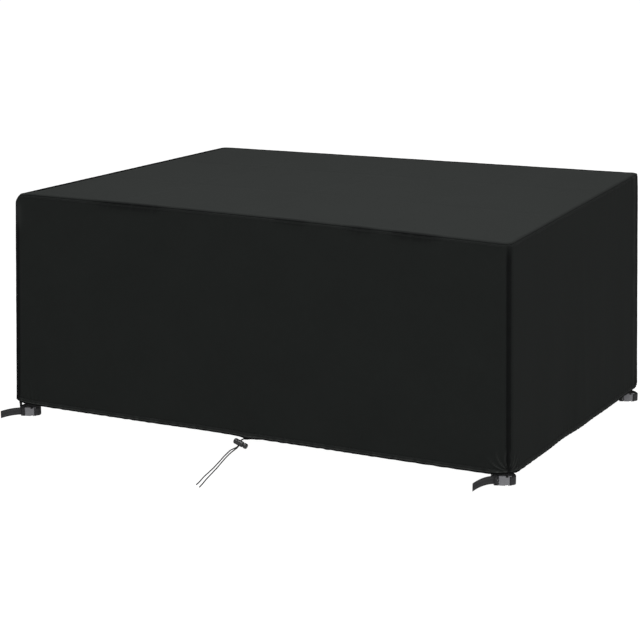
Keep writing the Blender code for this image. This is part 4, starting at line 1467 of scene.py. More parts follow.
@dataclass
class Piping:
    """The corded seams: one round the top and one up each corner."""

    form: CoverForm
    wardrobe: Wardrobe
    step: float = 3.2 * MM
    sides: int = 14
    slack: float = 0.1 * MM
    crease: float = 0.10 * MM
    swell: float = 0.12 * MM
    end_gap: float = 2 * MM
    stand_out: dict[Corner, float] = field(default_factory=lambda: {Corner.BACK_RIGHT: 1.2 * MM})
    stand_fade: float = 40 * MM

    def ripple(self, count: int, seed: int) -> Array:
        """Return the piping's radius at each ring and side, slightly twisted and creased.

        Args:
            count: How many rings.
            seed: A number for what is uneven.

        Returns:
            The radii.
        """
        rng = np.random.default_rng(seed)
        along = np.arange(count)[:, None] * self.step
        around = 2 * math.pi * np.arange(self.sides)[None] / self.sides
        creases = self.crease * np.sin(along / (5.5 * MM) + 2 * around + rng.uniform(0, 6))
        swell = self.swell * np.sin(along / (31 * MM) + rng.uniform(0, 6))
        return self.form.welt_radius - self.slack + creases + swell

    def stations(self, side: Side) -> Array:
        """Return the distances of the rings along one side."""
        girth = self.form.girth(side)
        return np.linspace(0, girth, round(girth / self.step), endpoint=False)

    def painted_top_shade(self) -> Array:
        """Return the painted shade on each ring of the top's piping, from 0 to 1."""
        shades = PaintedSeamShade(self.form)
        darks = [0.2 + 0.45 * shades.top(side, self.stations(side)) for side in Side]
        # Full painted shade along the back and the left, for their dark outline
        for side in (Side.BACK, Side.LEFT):
            darks[list(Side).index(side)][:] = 1.0
        return np.concatenate(darks)

    def top_path(self) -> Array:
        """Return the middle of the piping round the top."""
        form = self.form
        _, inward, height = form.roll(np.array([form.top_seam]))
        rows = []
        for side in Side:
            plan, normal = form.plan(side, self.stations(side))
            rows.append(at_height(plan - normal * inward, np.full(len(plan), form.hem_line + height[0])))
        return form.hang(np.vstack(rows))

    def heights(self) -> Array:
        """Return how far up from the hem's edge each ring of an upright seam's piping is."""
        end = self.form.top_seam - self.end_gap
        return np.linspace(self.end_gap, end, round(end / self.step))

    def corner_path(self, corner: Corner) -> Array:
        """Return the middle of one upright seam's piping, from the hem to the top's.

        Args:
            corner: Which corner.

        Returns:
            The points.
        """
        form = self.form
        sign = np.array(SIGNS[corner], float)
        centre = sign * (np.array([form.half_width, form.half_depth]) - form.top_middle - form.corner_radius)
        up = self.heights()
        stand_out = self.stand_out.get(corner, 0.0) * np.clip((up[-1] - up) / self.stand_fade, 0, 1)
        _, inward, height = form.roll(up)
        plan = centre + sign / math.sqrt(2) * (form.corner_radius + stand_out - inward)[:, None]
        return form.hang(at_height(plan, form.hem_line + height))

    def build(self) -> list[Object]:
        """Return the dressed piping."""
        tape = self.wardrobe.piping
        path = self.top_path()
        made = [tube("piping_top", path, self.ripple(len(path), 5), tape, closed=True)]
        # Painted shade on the top's piping
        mark(made[0].data, "painted_seam_shade", np.repeat(self.painted_top_shade(), self.sides))
        own(made[0], COVER_BODY, "welt_tape", "top_welt")
        up = np.append(np.repeat(self.heights(), self.sides), (0.0, self.form.drop))
        for index, corner in enumerate(Corner):
            path = self.corner_path(corner)
            made.append(tube(f"piping_{corner.value}", path, self.ripple(len(path), 20 + index), tape))
            # Painted shade on the upright piping
            mark(made[-1].data, "painted_seam_shade", PaintedSeamShade(self.form).upright(corner, up))
            own(made[-1], COVER_BODY, "welt_tape", f"welt_{corner.value}")
        return made


# ---------------------------------------------------------------- stitching


class StitchRow:
    """Rows of stitches, laid along lines by one node tree."""

    def __init__(self, material: Material) -> None:
        """Build the node tree.

        Args:
            material: The thread's finish.
        """
        self.material = material
        self.tree = bpy.data.node_groups.new("stitch_row", "GeometryNodeTree")
        new_socket = self.tree.interface.new_socket
        new_socket("Line", in_out="INPUT", socket_type="NodeSocketGeometry")
        self.sizes = {label: new_socket(label, in_out="INPUT", socket_type="NodeSocketFloat").identifier
                      for label in ("Pitch", "Length", "Thread")}
        new_socket("Stitches", in_out="OUTPUT", socket_type="NodeSocketGeometry")
        sheet = NodeSheet(self.tree)
        given, end = sheet.add("NodeGroupInput").outputs, sheet.add("NodeGroupOutput")
        curve = sheet.add("GeometryNodeMeshToCurve", {0: given["Line"]})
        even = sheet.add("GeometryNodeResampleCurve", {"Curve": curve.outputs[0], "Length": given["Pitch"]},
                         mode="LENGTH")
        tangent = sheet.add("GeometryNodeInputTangent")
        align = sheet.add("FunctionNodeAlignRotationToVector", {"Vector": tangent.outputs[0]}, axis="Z")
        bead = sheet.add("GeometryNodeMeshIcoSphere", {"Radius": 0.5, "Subdivisions": 1})
        thread = given["Thread"]
        size = sheet.add("ShaderNodeCombineXYZ", {0: thread, 1: thread, 2: given["Length"]})
        copies = sheet.add("GeometryNodeInstanceOnPoints", {
            "Points": even.outputs[0], "Instance": bead.outputs[0], "Rotation": align.outputs[0],
            "Scale": size.outputs[0]})
        real = sheet.add("GeometryNodeRealizeInstances", {0: copies.outputs[0]})
        dressed = sheet.add("GeometryNodeSetMaterial", {"Geometry": real.outputs[0], "Material": material})
        sheet.feed(end.inputs[0], dressed.outputs[0])

    def build(self, name: str, lines: list[Array], slot: str, **sizes: float) -> Object:
        """Lay stitches along lines.

        Args:
            name: The piece's name.
            lines: The lines, one array of points each.
            slot: Handed on to own, which does not use it.
            **sizes: Their Pitch, the Length that shows of each, and how thick the Thread is.

        Returns:
            The stitching as a plain mesh.
        """
        mesh = bpy.data.meshes.new(name)
        points, edges = [], []
        for line in lines:
            first = len(points)
            points += line.tolist()
            edges += [(first + index, first + index + 1) for index in range(len(line) - 1)]
        mesh.from_pydata(points, edges, [])
        carrier = put(f"{name}_line", mesh)
        modifier = carrier.modifiers.new("stitches", "NODES")
        modifier.node_group = self.tree
        for label, value in sizes.items():
            modifier[self.sizes[label]] = value
        graph = bpy.context.evaluated_depsgraph_get()
        result = bpy.data.meshes.new_from_object(carrier.evaluated_get(graph), depsgraph=graph)
        bpy.data.objects.remove(carrier)
        result.name = name
        result.shade_smooth()
        if not result.materials:
            result.materials.append(self.material)
        lay_map(result, np.zeros((len(result.vertices), 2)))
        return own(put(name, result), COVER_BODY, slot)


# ---------------------------------------------------------------- straps


@dataclass
class LegStrap:
    """One leg strap: its webbing, the tab that hangs it and its buckle.

    Its plan points and the step between them are in millimetres, as pairs along the buckle and out of its
    face.
    """

    form: CoverForm
    corner: Corner
    wardrobe: Wardrobe
    turn: float = math.radians(21)
    width: float = 25 * MM
    thickness: float = 1.6 * MM
    edge_round: float = 1.1 * MM
    edge_point: float = 0.35 * MM
    tab_lap: float = 20 * MM
    step: float = 1.15
    sewn_box: tuple = (-5.5 * MM, 9.5 * MM, 9.5 * MM)
    places: dict[Corner, tuple] = field(default_factory=lambda: {
        Corner.FRONT_LEFT: (-825, -633, -729), Corner.FRONT_RIGHT: (847, -601, -717),
        Corner.BACK_RIGHT: (843, 584, -766), Corner.BACK_LEFT: (-820, 608, -749)})
    droops: dict[Corner, float] = field(default_factory=lambda: {
        Corner.FRONT_LEFT: 5 * MM, Corner.FRONT_RIGHT: 14 * MM,
        Corner.BACK_RIGHT: 3 * MM, Corner.BACK_LEFT: 8 * MM})
    doubled_end: tuple = (
        (24.2, 1.5), (19.5, 2.2), (15.4, 2.6), (13.3, 4.2), (13.3, 6.8), (15.0, 8.3), (18.4, 8.2))
    leg_loop: tuple = (
        (22.6, 6.5), (26.8, 3.4), (29.4, -1.2), (30.0, -7.5), (28.3, -17.5), (23.6, -29.0), (16.6, -39.4),
        (7.0, -47.2), (-4.0, -50.4), (-14.0, -51.2), (-24.5, -50.2), (-32.0, -45.6), (-36.8, -36.5),
        (-39.0, -25.0), (-39.3, -13.0), (-38.0, -5.0), (-35.4, -0.6), (-31.6, 1.1))
    ladder_weave: tuple = (
        (-24.2, 1.1), (-22.5, 2.8), (-22.5, 6.6), (-24.0, 8.1), (-27.8, 8.1), (-29.1, 6.6), (-29.05, 4.6),
        (-30.7, 3.1))
    tail: tuple = ((-33.7, 3.1), (-38.5, 3.9), (-47.0, 6.4), (-57.0, 10.4), (-67.0, 15.6), (-77.0, 22.2),
                   (-86.0, 29.4), (-93.0, 36.0))
    tabs: dict[Corner, tuple] = field(default_factory=lambda: {
        Corner.FRONT_LEFT: ((-41.3, -24.0), (-1, 0), (-841.3, -617.0), None, (-2, 62)),
        Corner.FRONT_RIGHT: ((-41.3, -19.0), (-1, 0), (806.0, -636.5), (0, -1), (78, 106)),
        Corner.BACK_RIGHT: ((-13.0, -47.4), (0, -1), (808.0, 635.7), (0, 1), (-3, 62)),
        Corner.BACK_LEFT: ((-41.3, -19.0), (-1, 0), (-845.7, 598.0), (-1, 0), (-3, 62))})

    def axes(self) -> tuple[Array, Array]:
        """Return the directions along the buckle and out of its face."""
        across, ahead = math.cos(self.turn), math.sin(self.turn)
        return np.array([across, ahead, 0]), np.array([ahead, -across, 0])

    def spot(self, plan: Array, height: Array | float = 0.0) -> Array:
        """Return places given in this strap's own plan, in millimetres.

        Args:
            plan: Pairs along the buckle and out of its face.
            height: Heights above the strap's middle, in metres.

        Returns:
            The points.
        """
        along, out = self.axes()
        plan = np.atleast_2d(plan)
        points = np.array(self.places[self.corner]) * MM + (plan[:, :1] * along + plan[:, 1:2] * out) * MM
        points[:, 2] += height
        return points

    def profile(self) -> Array:
        """Return the webbing's section as pairs across and through it, in order round it."""
        half, thin = self.width / 2, self.thickness / 2
        near, rim = half - self.edge_round, half - self.edge_point
        under = [(-rim, -0.62 * thin), (-near, -thin), (-half / 2, -thin), (0, -thin), (half / 2, -thin),
                 (near, -thin), (rim, -0.62 * thin)]
        over = [(-across, -through) for across, through in under]
        return np.array([(-half, 0), *under, (half, 0), *over])

    def ribbon(self, name: str, path: Array, widths: Array) -> Object:
        """Make a strip of webbing with rounded edges.

        Args:
            name: The piece's name.
            path: The points of its middle.
            widths: The direction across it at each point.

        Returns:
            The new object.
        """
        through = unit(np.cross(tangents(path), widths))
        profile = self.profile()
        sides = len(profile)
        across, deep = profile[None, :, :1], profile[None, :, 1:]
        rings = path[:, None] + across * widths[:, None] + deep * through[:, None]
        faces = grid_faces(len(path), sides, around=True)
        faces.append(tuple(range(sides)))
        faces.append(tuple(range((len(path) - 1) * sides, len(path) * sides)))
        made = add_mesh(name, rings, faces, self.wardrobe.webbing)
        pairs = [np.tile(profile[:, 0], len(path)), np.repeat(walk(path), sides)]
        lay_map(made.data, np.stack(pairs, axis=1))
        face_outwards(made.data)
        return made

    def webbing_path(self) -> Array:
        """Return the middle of the strap's webbing, from its doubled end to the tip of its tail."""
        end = cut_corners(np.array(self.doubled_end), 2)
        loop = smooth_row(np.array((self.doubled_end[-1], *self.leg_loop)), 6)
        weave = cut_corners(np.array((self.leg_loop[-1], *self.ladder_weave, self.tail[0])), 2)
        tail = smooth_row(np.array(self.tail), 6)
        plan = even_row(np.vstack([end[:-1], loop[:-1], weave[:-1], tail]), self.step)
        root, tip = self.tail[0], self.tail[-1]
        starts = np.argmin(np.hypot(plan[:, 0] - root[0], plan[:, 1] - root[1]))
        along_tail = np.clip((plan[:, 0] - root[0]) / (tip[0] - root[0]), 0, 1)
        share = np.where(np.arange(len(plan)) >= starts, along_tail, 0)
        return self.spot(plan, -self.droops[self.corner] * share ** 2)

    def sewn_place(self) -> tuple[Array, Array]:
        """Return where the tab is sewn to the strap, and the way that it faces there."""
        (point, faces), (along, out) = self.tabs[self.corner][:2], self.axes()
        return self.spot(np.array([point]))[0], along * faces[0] + out * faces[1]

    def tab_path(self) -> tuple[Array, Array]:
        """Return the middle of the tab's webbing and the direction across it."""
        inside, faces, (meets, ends) = self.tabs[self.corner][2:]
        low, low_faces = self.sewn_place()
        high_faces = np.array([*faces, 0.0]) if faces else low_faces

        def on_cloth(height: float) -> Array:
            """Return the tab's place inside the cloth, at a height above the hem line in millimetres."""
            even = np.array([[inside[0], inside[1], 0.0]]) * MM
            even[:, 2] = self.form.hem_line + height * MM
            return self.form.hang(even)[0]

        high = on_cloth(meets)
        up = np.array([0, 0, 1.0])
        points = [low + up * (self.width / 2 - self.tab_lap), low + up * (self.width / 2 + MM)]
        facing = [low_faces, low_faces]
        for share in np.linspace(0, 1, 20)[1:-1]:
            place = low + (high - low) * ease(share)
            place[2] = points[1][2] + (high[2] - points[1][2]) * share
            points.append(place)
            facing.append(unit(low_faces * (1 - ease(share)) + high_faces * ease(share)))
        for height in np.linspace(meets, ends, 12):
            points.append(on_cloth(height))
            facing.append(high_faces)
        normals = np.array(facing)
        return np.array(points), np.stack([-normals[:, 1], normals[:, 0], 0 * normals[:, 0]], axis=1)

    def build(self) -> list[Object]:
        """Return the strap's webbing and its tab."""
        name = self.corner.value
        path = self.webbing_path()
        upright = np.tile([0.0, 0.0, 1.0], (len(path), 1))
        strap = self.ribbon(f"webbing_{name}", path, upright)
        tab = self.ribbon(f"tab_{name}", *self.tab_path())
        return [own(strap, COVER_BODY, "webbing", f"leg_strap_{name}"),
                own(tab, COVER_BODY, "webbing", f"strap_tab_{name}")]

    def stitch_lines(self) -> list[Array]:
        """Return the box of stitches where the tab is sewn to the strap."""
        middle, facing = self.sewn_place()
        middle = middle + facing * (self.thickness / 2 + 0.1 * MM)
        across = np.array([-facing[1], facing[0], 0])
        low, high, half = self.sewn_box
        corners = [(-half, low), (half, low), (half, high), (-half, high), (-half, low), (half, high)]
        line = np.array([middle + across * u + np.array([0, 0, v]) for u, v in corners])
        return [even_row(line, 1.0 * MM)]


class BuckleMoulds:
    """The shapes of a side-release buckle, in millimetres: x along it, y out of its face, z up."""

    def block(self, low: tuple, high: tuple, radius: float, segments: int = 3) -> Object:
        """Return a box with rounded edges.

        Args:
            low: Its lowest corner.
            high: Its highest corner.
            radius: How round its edges are.
            segments: How many faces round each edge.

        Returns:
            The new object.
        """
        shell = bmesh.new()
        size, middle = Vector(high) - Vector(low), (Vector(high) + Vector(low)) / 2
        place = Matrix.Translation(middle) @ Matrix.Diagonal((*size, 1))
        bmesh.ops.create_cube(shell, size=1.0, matrix=place)
        if radius:
            self.round_off(shell, shell.edges[:], radius, segments)
        return self.made(shell)

    def plate(self, outline: list[tuple], low: float, high: float, radius: float) -> Object:
        """Return an outline in x and z, given thickness along y.

        Args:
            outline: The outline's points.
            low: Where it starts along y.
            high: Where it ends along y.
            radius: How round its edges are.

        Returns:
            The new object.
        """
        shell = bmesh.new()
        base = shell.faces.new([shell.verts.new((x, low, z)) for x, z in outline])
        lifted = bmesh.ops.extrude_face_region(shell, geom=[base])
        moved = [item for item in lifted["geom"] if isinstance(item, bmesh.types.BMVert)]
        bmesh.ops.translate(shell, vec=(0, high - low, 0), verts=moved)
        bmesh.ops.recalc_face_normals(shell, faces=shell.faces)
        rims = [edge for edge in shell.edges if abs(edge.verts[0].co.y - edge.verts[1].co.y) < 1e-6]
        self.round_off(shell, rims, radius, 2)
        return self.made(shell)

    def round_off(self, shell: bmesh.types.BMesh, edges: list, radius: float, segments: int) -> None:
        """Round off some of a shape's edges, with a number of faces round each."""
        bmesh.ops.bevel(shell, geom=edges, offset=radius, segments=segments, affect="EDGES", profile=0.5)

    def made(self, shell: bmesh.types.BMesh) -> Object:
        """Make an object of a finished shape.

        Args:
            shell: The shape, which is freed.

        Returns:
            The new object.
        """
        mesh = bpy.data.meshes.new("mould")
        shell.to_mesh(mesh)
        shell.free()
        return put("mould", mesh)

    def combine(self, base: Object, joins: list, cuts: list, edge: float) -> Mesh:
        """Return a block with others joined to it and cut from it, its sharp edges eased.

        Args:
            base: The first block.
            joins: Blocks to join.
            cuts: Blocks to cut away.
            edge: How far the sharp edges are eased.

        Returns:
            The mesh.
        """
        for operation, others in (("UNION", joins), ("DIFFERENCE", cuts)):
            for other in others:
                modifier = base.modifiers.new(operation.lower(), "BOOLEAN")
                modifier.operation, modifier.object = operation, other
        eased = base.modifiers.new("eased", "BEVEL")
        eased.width, eased.segments = edge, 2
        eased.limit_method, eased.angle_limit = "ANGLE", math.radians(38)
        bpy.context.view_layer.update()
        graph = bpy.context.evaluated_depsgraph_get()
        mesh = bpy.data.meshes.new_from_object(base.evaluated_get(graph))
        for used in (base, *joins, *cuts):
            bpy.data.objects.remove(used)
        return mesh

    def both(self, low: tuple, high: tuple, radius: float) -> list[Object]:
        """Return a block above the buckle's middle and its twin below."""
        twin_low, twin_high = (low[0], low[1], -high[2]), (high[0], high[1], -low[2])
        return [self.block(low, high, radius), self.block(twin_low, twin_high, radius)]

    def through(self, start: float, end: float) -> Object:
        """Return a slot through the ladder, from one place to another along it."""
        return self.block((start, -1.0, -12.9), (end, 12.0, 12.9), 0.5)

    def socket(self) -> Mesh:
        """Return the socket: a flat grey box open at one end, with a window for each arm."""
        body = self.block((-18.5, 1.2, -14.6), (12.45, 10.8, 14.6), 1.9, 4)
        rails = self.both((9.0, 3.4, 12.6), (18.2, 7.6, 14.4), 0.7)
        bar = self.block((14.15, 3.9, -13.6), (18.1, 7.3, 13.6), 0.9)
        step = self.block((-18.5, 1.15, -13.2), (-15.2, 11.1, 13.2), 0.9)
        cavity = self.block((-20.0, 3.2, -11.9), (8.6, 8.6, 11.9), 0.8)
        windows = self.both((0.6, -1.0, 10.4), (8.6, 13.0, 17.0), 1.6)
        dish = self.block((-11.5, 10.35, -8.2), (-1.0, 13.0, 8.2), 1.5)
        grips = [self.block((start, 10.5, -9.5), (start + 0.7, 12.0, 9.5), 0.25, 1)
                 for start in (-17.2, -15.6)]
        return self.combine(body, [*rails, bar, step], [cavity, *windows, dish, *grips], 0.22)

    def clip(self) -> Mesh:
        """Return the clip: a ladder frame, two sprung arms with hooks, and a guide."""
        frame = self.block((-33.4, 3.3, -15.2), (-18.6, 8.3, 15.2), 1.3, 4)
        upper = [(-19.6, 8.3), (-12.0, 9.0), (-4.0, 9.0), (2.0, 8.5), (6.4, 8.8), (8.0, 10.4), (7.2, 12.6),
                 (4.4, 13.7), (1.4, 13.2), (1.1, 11.5), (-4.0, 11.4), (-12.0, 11.7), (-19.6, 11.6)]
        lower = [(x, -z) for x, z in upper]
        arms = [self.plate(outline, 4.0, 7.8, 0.4) for outline in (upper, lower)]
        guide = self.block((-19.4, 4.9, -1.8), (2.0, 6.9, 1.8), 0.5)
        slots = [self.through(-30.5, -27.6), self.through(-24.3, -21.6)]
        thin = [self.block((-36.0, low, -12.9), (-21.0, high, 12.9), 0)
                for low, high in ((-1.0, 4.6), (6.9, 12.0))]
        return self.combine(frame, [*arms, guide], [*slots, *thin], 0.2)


@dataclass
class Buckle:
    """The two pieces of one strap's buckle."""

    strap: LegStrap
    socket: Mesh
    clip: Mesh

    def build(self) -> list[Object]:
        """Return the placed socket and clip."""
        along, out = (Vector(axis) for axis in self.strap.axes())
        turn = Matrix((along, out, (0, 0, 1))).transposed().to_4x4()
        middle = Vector(self.strap.places[self.strap.corner]) * MM
        place = Matrix.Translation(middle) @ turn @ Matrix.Scale(MM, 4)
        plastics = self.strap.wardrobe.grey_plastic, self.strap.wardrobe.black_plastic
        return [self.piece("socket", self.socket, place, plastics[0], "buckle_grey"),
                self.piece("clip", self.clip, place, plastics[1], "buckle_black")]

    def piece(self, kind: str, shape: Mesh, place: Matrix, finish: Material, slot: str) -> Object:
        """Make one piece of the buckle.

        Args:
            kind: Socket or clip.
            shape: Its shape, in the buckle's own axes.
            place: The matrix from those axes to the cover.
            finish: Its plastic.
            slot: Handed on to own, which does not use it.

        Returns:
            The placed piece.
        """
        mesh = shape.copy()
        mesh.transform(place)
        face_outwards(mesh)
        mesh.materials.clear()
        mesh.materials.append(finish)
        mesh.shade_flat()
        corner = self.strap.corner.value
        return own(put(f"{kind}_{corner}", mesh), COVER_BODY, slot, f"buckle_{kind}_{corner}")


# ---------------------------------------------------------------- drawcord and lock


@dataclass
class Drawcord:
    """The two free ends of the drawcord, along routes in millimetres."""

    wardrobe: Wardrobe
    diameter: float = 3.8 * MM
    step: float = 0.9 * MM
    sides: int = 20
    braid_pitch: float = 3.6 * MM
    braid_depth: float = 0.11 * MM
    slack: float = 0.12 * MM
    left: tuple = (
        (3.4, -640.4, -701.1), (-1.6, -640.8, -703.5), (-6.4, -641.5, -705.6), (-10.2, -642.6, -708.1),
        (-12.9, -644.3, -711.6), (-15.2, -646.9, -718.4), (-17.5, -649.5, -725.2), (-22.0, -652.9, -731.0),
        (-29.5, -656.4, -735.4), (-38.8, -661.4, -740.5), (-47.0, -669.0, -749.6), (-54.6, -678.6, -760.0),
        (-61.4, -690.6, -771.6), (-65.6, -705.6, -780.6), (-65.4, -723.6, -785.4), (-61.2, -746.6, -786.1),
        (-56.2, -769.0, -786.1), (-51.8, -792.0, -786.1), (-46.8, -813.0, -786.1), (-40.6, -834.6, -786.1),
        (-34.6, -857.0, -786.1), (-30.2, -878.3, -786.1))
    right: tuple = (
        (20.5, -640.4, -701.2), (14.0, -639.8, -703.0), (7.2, -638.4, -704.8), (0.6, -637.5, -705.8),
        (-5.6, -637.4, -706.6), (-10.6, -638.4, -709.2), (-13.3, -640.5, -712.9), (-15.6, -643.1, -719.7),
        (-17.9, -645.7, -726.5), (-22.0, -649.3, -733.4), (-29.6, -654.2, -740.6), (-38.4, -662.2, -749.2),
        (-47.4, -672.8, -760.8), (-54.6, -684.8, -772.6), (-58.2, -699.4, -781.8), (-56.6, -716.6, -785.9),
        (-51.2, -739.0, -786.1), (-44.0, -766.6, -786.1), (-37.0, -794.3, -786.1), (-30.6, -819.6, -786.1),
        (-23.2, -844.8, -786.1), (-16.2, -869.4, -786.1), (-10.1, -893.7, -786.1))

    def path(self, name: str) -> Array:
        """Return the middle line of one strand."""
        route = self.left if name == "left" else self.right
        return even_row(smooth_row(np.array(route) * MM, 12), self.step)

    def braid(self, count: int, seed: int) -> Array:
        """Return a strand's radius at each ring and side, with a ragged end.

        Args:
            count: How many rings.
            seed: A number for the ragged end.

        Returns:
            The radii.
        """
        along = 2 * math.pi * np.arange(count)[:, None] * self.step / self.braid_pitch
        around = 2 * math.pi * np.arange(self.sides)[None] / self.sides
        crossing = np.sin(4 * around + along) * np.sin(4 * around - along)
        radius = self.diameter / 2 - self.slack + self.braid_depth * crossing
        ragged = np.random.default_rng(seed).uniform(-0.25, 0.05, self.sides) * MM
        radius[-1] = radius[-1] * 0.96 + ragged
        return radius

    def build(self, name: str, on_it: list[Object]) -> Object:
        """Make one strand.

        Args:
            name: Left or right.
            on_it: Not used.

        Returns:
            The strand.
        """
        path = self.path(name)
        radius = self.braid(len(path), 3 if name == "left" else 8)
        made = tube(f"cord_{name}", path, radius, self.wardrobe.cord)
        own(made, COVER_BODY, "cord", f"drawcord_{name}")
        return made


@dataclass
class CordLock:
    """The barrel cord lock: a fixed barrel and the sprung button in it.

    Its shapes are in millimetres, as pairs along its axis and out from it.
    """

    wardrobe: Wardrobe
    tilt: float = math.radians(18.6)
    hole_tilt: float = math.radians(20)
    middle: tuple = (-12.6, -645.0, -720.0)
    sides: int = 48
    hole_place: float = -3.0
    hole_across: float = 9.2
    hole_along: float = 5.0
    hole_depth: float = 19.0
    hole_round: float = 1.2
    eased: float = 0.25
    travel: float = 3.5
    barrel: tuple = (
        (-24, 0), (-24, 3.6), (-23.6, 5.6), (-22.6, 7.4), (-21.1, 8.6), (-19.4, 9.15), (-15.6, 9.2),
        (-15.0, 8.9), (-14.7, 8.3), (-12.9, 8.3), (-12.6, 8.9), (-12.0, 9.2), (3.4, 9.2), (3.8, 8.8),
        (5.0, 8.8), (5.4, 9.2), (6.4, 9.2), (6.8, 8.8), (7.6, 8.7), (8.6, 8.3), (9, 7.8), (9, 6.7),
        (-20, 6.7), (-20, 0))
    button: tuple = (
        (-16, 0), (-16, 5.8), (-15.6, 6.2), (13, 6.2), (13, 8.0), (13.3, 8.5), (14.0, 8.7), (17.6, 8.7),
        (17.9, 8.4), (18.6, 8.4), (18.9, 8.7), (20.8, 8.7), (22.2, 8.1), (23.3, 6.9), (23.9, 4.9), (24, 3.2),
        (24, 0))

    def frame(self) -> Matrix:
        """Return the matrix from the lock's own axes, in millimetres, to the cover."""
        along = Vector((math.cos(self.tilt), 0, -math.sin(self.tilt)))
        down = Vector((-math.sin(self.tilt), 0, -math.cos(self.tilt)))
        hole = down * math.cos(self.hole_tilt) + Vector((0, -1, 0)) * math.sin(self.hole_tilt)
        turn = Matrix((along, hole, along.cross(hole))).transposed().to_4x4()
        return Matrix.Translation(Vector(self.middle) * MM) @ turn @ Matrix.Scale(MM, 4)

    def turned(self, profile: tuple) -> Object:
        """Return a profile turned about the lock's axis.

        Args:
            profile: Pairs along the axis and out from it.

        Returns:
            The new object.
        """
        angles = 2 * math.pi * np.arange(self.sides) / self.sides
        circle = np.stack([np.cos(angles), np.sin(angles)], axis=1)
        rings = [np.hstack([np.full((self.sides, 1), along), radius * circle])
                 for along, radius in profile[1:-1]]
        points = np.vstack([*rings, (profile[0][0], 0, 0), (profile[-1][0], 0, 0)])
        faces = grid_faces(len(rings), self.sides, around=True)
        first, last, outmost = len(points) - 2, len(points) - 1, len(points) - 2 - self.sides
        for side in range(self.sides):
            after = (side + 1) % self.sides
            faces += [(first, side, after), (last, outmost + after, outmost + side)]
        made = add_mesh("turned", points, faces, self.wardrobe.lock_plastic)
        face_outwards(made.data)
        return made

    def piece(self, name: str, body: str, base: Object, travel: float) -> Object:
        """Cut the strands' hole through a turned shape and put it in place.

        Args:
            name: The piece's name.
            body: The body that it rides on.
            base: The turned shape.
            travel: How much longer its hole is, so that it can slide past the strands.

        Returns:
            The placed piece.
        """
        moulds = BuckleMoulds()
        start, wide = self.hole_place - self.hole_along / 2, self.hole_across / 2
        end = start + self.hole_along + travel
        window = moulds.block((start, -self.hole_depth, -wide), (end, self.hole_depth, wide), self.hole_round)
        mesh = moulds.combine(base, [], [window], self.eased)
        mesh.transform(self.frame())
        mesh.shade_smooth()
        mesh.set_sharp_from_angle(angle=math.radians(32))
        return own(put(name, mesh), body, "lock_plastic", f"cord_{name}")

    def build(self) -> list[Object]:
        """Return the barrel and the button."""
        return [self.piece("lock_barrel", COVER_BODY, self.turned(self.barrel), 0.0),
                self.piece("lock_button", BUTTON_BODY, self.turned(self.button), self.travel)]


# ---------------------------------------------------------------- studio


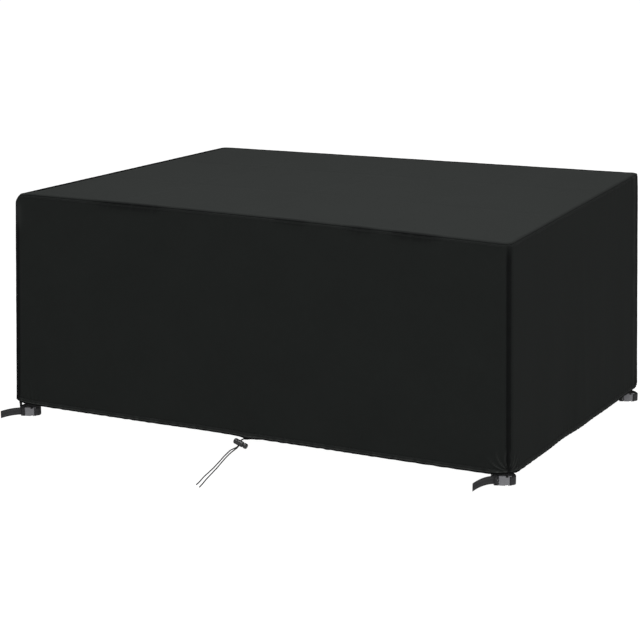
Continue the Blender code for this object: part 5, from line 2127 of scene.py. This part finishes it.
@dataclass
class Studio:
    """The camera, the pale floor and the soft lights."""

    camera_place: tuple = (2.522, -4.949, 0.848)
    camera_turn: float = 27.67
    camera_pitch: float = 13.25
    lens: float = 94.67
    film_width: float = 36.0
    sight: float = 300.0
    floor_size: float = 120.0
    glow_seen: float = 1.0
    glow_lit: float = 0.34
    lights: tuple = (
        ("overhead", (0.3, -0.4, 4.2), (0, 0, 0), 4.0, 225),
        ("front_fill", (3.0, -5.6, 2.2), (0.1, 0, -0.4), 3.0, 102),
        ("side_fill", (6.0, -1.0, 2.0), (0.8, 0, -0.4), 3.0, 22))

    def camera(self) -> None:
        """Set the camera at the photograph's view."""
        data = bpy.data.cameras.new("camera")
        data.lens, data.sensor_width, data.clip_end = self.lens, self.film_width, self.sight
        made = put("camera", data)
        made.location = self.camera_place
        made.rotation_euler = (math.radians(90 - self.camera_pitch), 0, math.radians(self.camera_turn))
        bpy.context.scene.camera = made

    def area(self, name: str, place: tuple, aim: tuple, size: float, power: float) -> None:
        """Add one soft light.

        Args:
            name: Its name.
            place: Where it hangs.
            aim: What it points at.
            size: How wide it is.
            power: Its power in watts.
        """
        data = bpy.data.lights.new(name, "AREA")
        data.shape, data.size, data.energy = "DISK", size, power
        made = put(name, data)
        made.location = place
        made.rotation_euler = (Vector(aim) - Vector(place)).to_track_quat("-Z", "Y").to_euler()

    def floor(self) -> None:
        """Lay the pale floor that the straps and cord ends hang over."""
        half = self.floor_size / 2
        material, sheet, shader = new_material("pale_floor")
        sheet.fill(shader, {
            "Base Color": (0.1, 0.1, 0.1), "Roughness": 0.9, "Specular IOR Level": 0.0,
            "Emission Color": (1, 1, 1), "Emission Strength": self.glow(sheet)})
        corners = [(-half, -half, FLOOR), (half, -half, FLOOR), (half, half, FLOOR), (-half, half, FLOOR)]
        made = add_mesh("floor", np.array(corners), [(0, 1, 2, 3)], material, smooth=False)

    def glow(self, sheet: NodeSheet) -> Socket:
        """Return a strength that is one value to the eye and another as light on the cover."""
        ray = sheet.add("ShaderNodeLightPath").outputs["Is Camera Ray"]
        return sheet.ramp(ray, self.glow_lit, self.glow_seen)

    def world(self) -> None:
        """Fill the room with soft white light."""
        world = bpy.data.worlds.new("room")
        world.use_nodes = True
        sheet = NodeSheet(world.node_tree)
        back = world.node_tree.nodes["Background"]
        sheet.fill(back, {"Color": (1, 1, 1), "Strength": self.glow(sheet)})
        bpy.context.scene.world = world

    def build(self) -> None:
        """Set up the whole studio."""
        self.floor()
        self.world()
        for light in self.lights:
            self.area(*light)
        settings = bpy.context.scene.view_settings
        settings.view_transform, settings.look = "Standard", "None"


def main() -> None:
    """Build the studio and every piece of the cover."""
    logging.basicConfig(level=logging.INFO, format="%(name)s: %(message)s")
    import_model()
    studio = Studio()
    studio.camera()
    wardrobe = Wardrobe.build()
    form = CoverForm()
    lock = CordLock(wardrobe).build()
    cords = Drawcord(wardrobe)
    for name in ("left", "right"):
        cords.build(name, lock)
    Piping(form, wardrobe).build()
    TopPanel(form, wardrobe).build()
    stitches = StitchRow(wardrobe.thread)
    for side in Side:
        panel = SidePanel(form, side, wardrobe)
        panel.build()
        stitches.build(f"stitching_{side.value}", panel.stitch_lines(), "coated_cloth",
                       Pitch=4.2 * MM, Length=3.4 * MM, Thread=0.8 * MM)
    moulds = BuckleMoulds()
    socket, clip = moulds.socket(), moulds.clip()
    for corner in Corner:
        strap = LegStrap(form, corner, wardrobe)
        strap.build()
        stitches.build(f"stitching_{corner.value}", strap.stitch_lines(), "webbing",
                       Pitch=2.6 * MM, Length=2.2 * MM, Thread=0.7 * MM)
        Buckle(strap, socket, clip).build()
    studio.build()


if __name__ == "__main__":
    main()
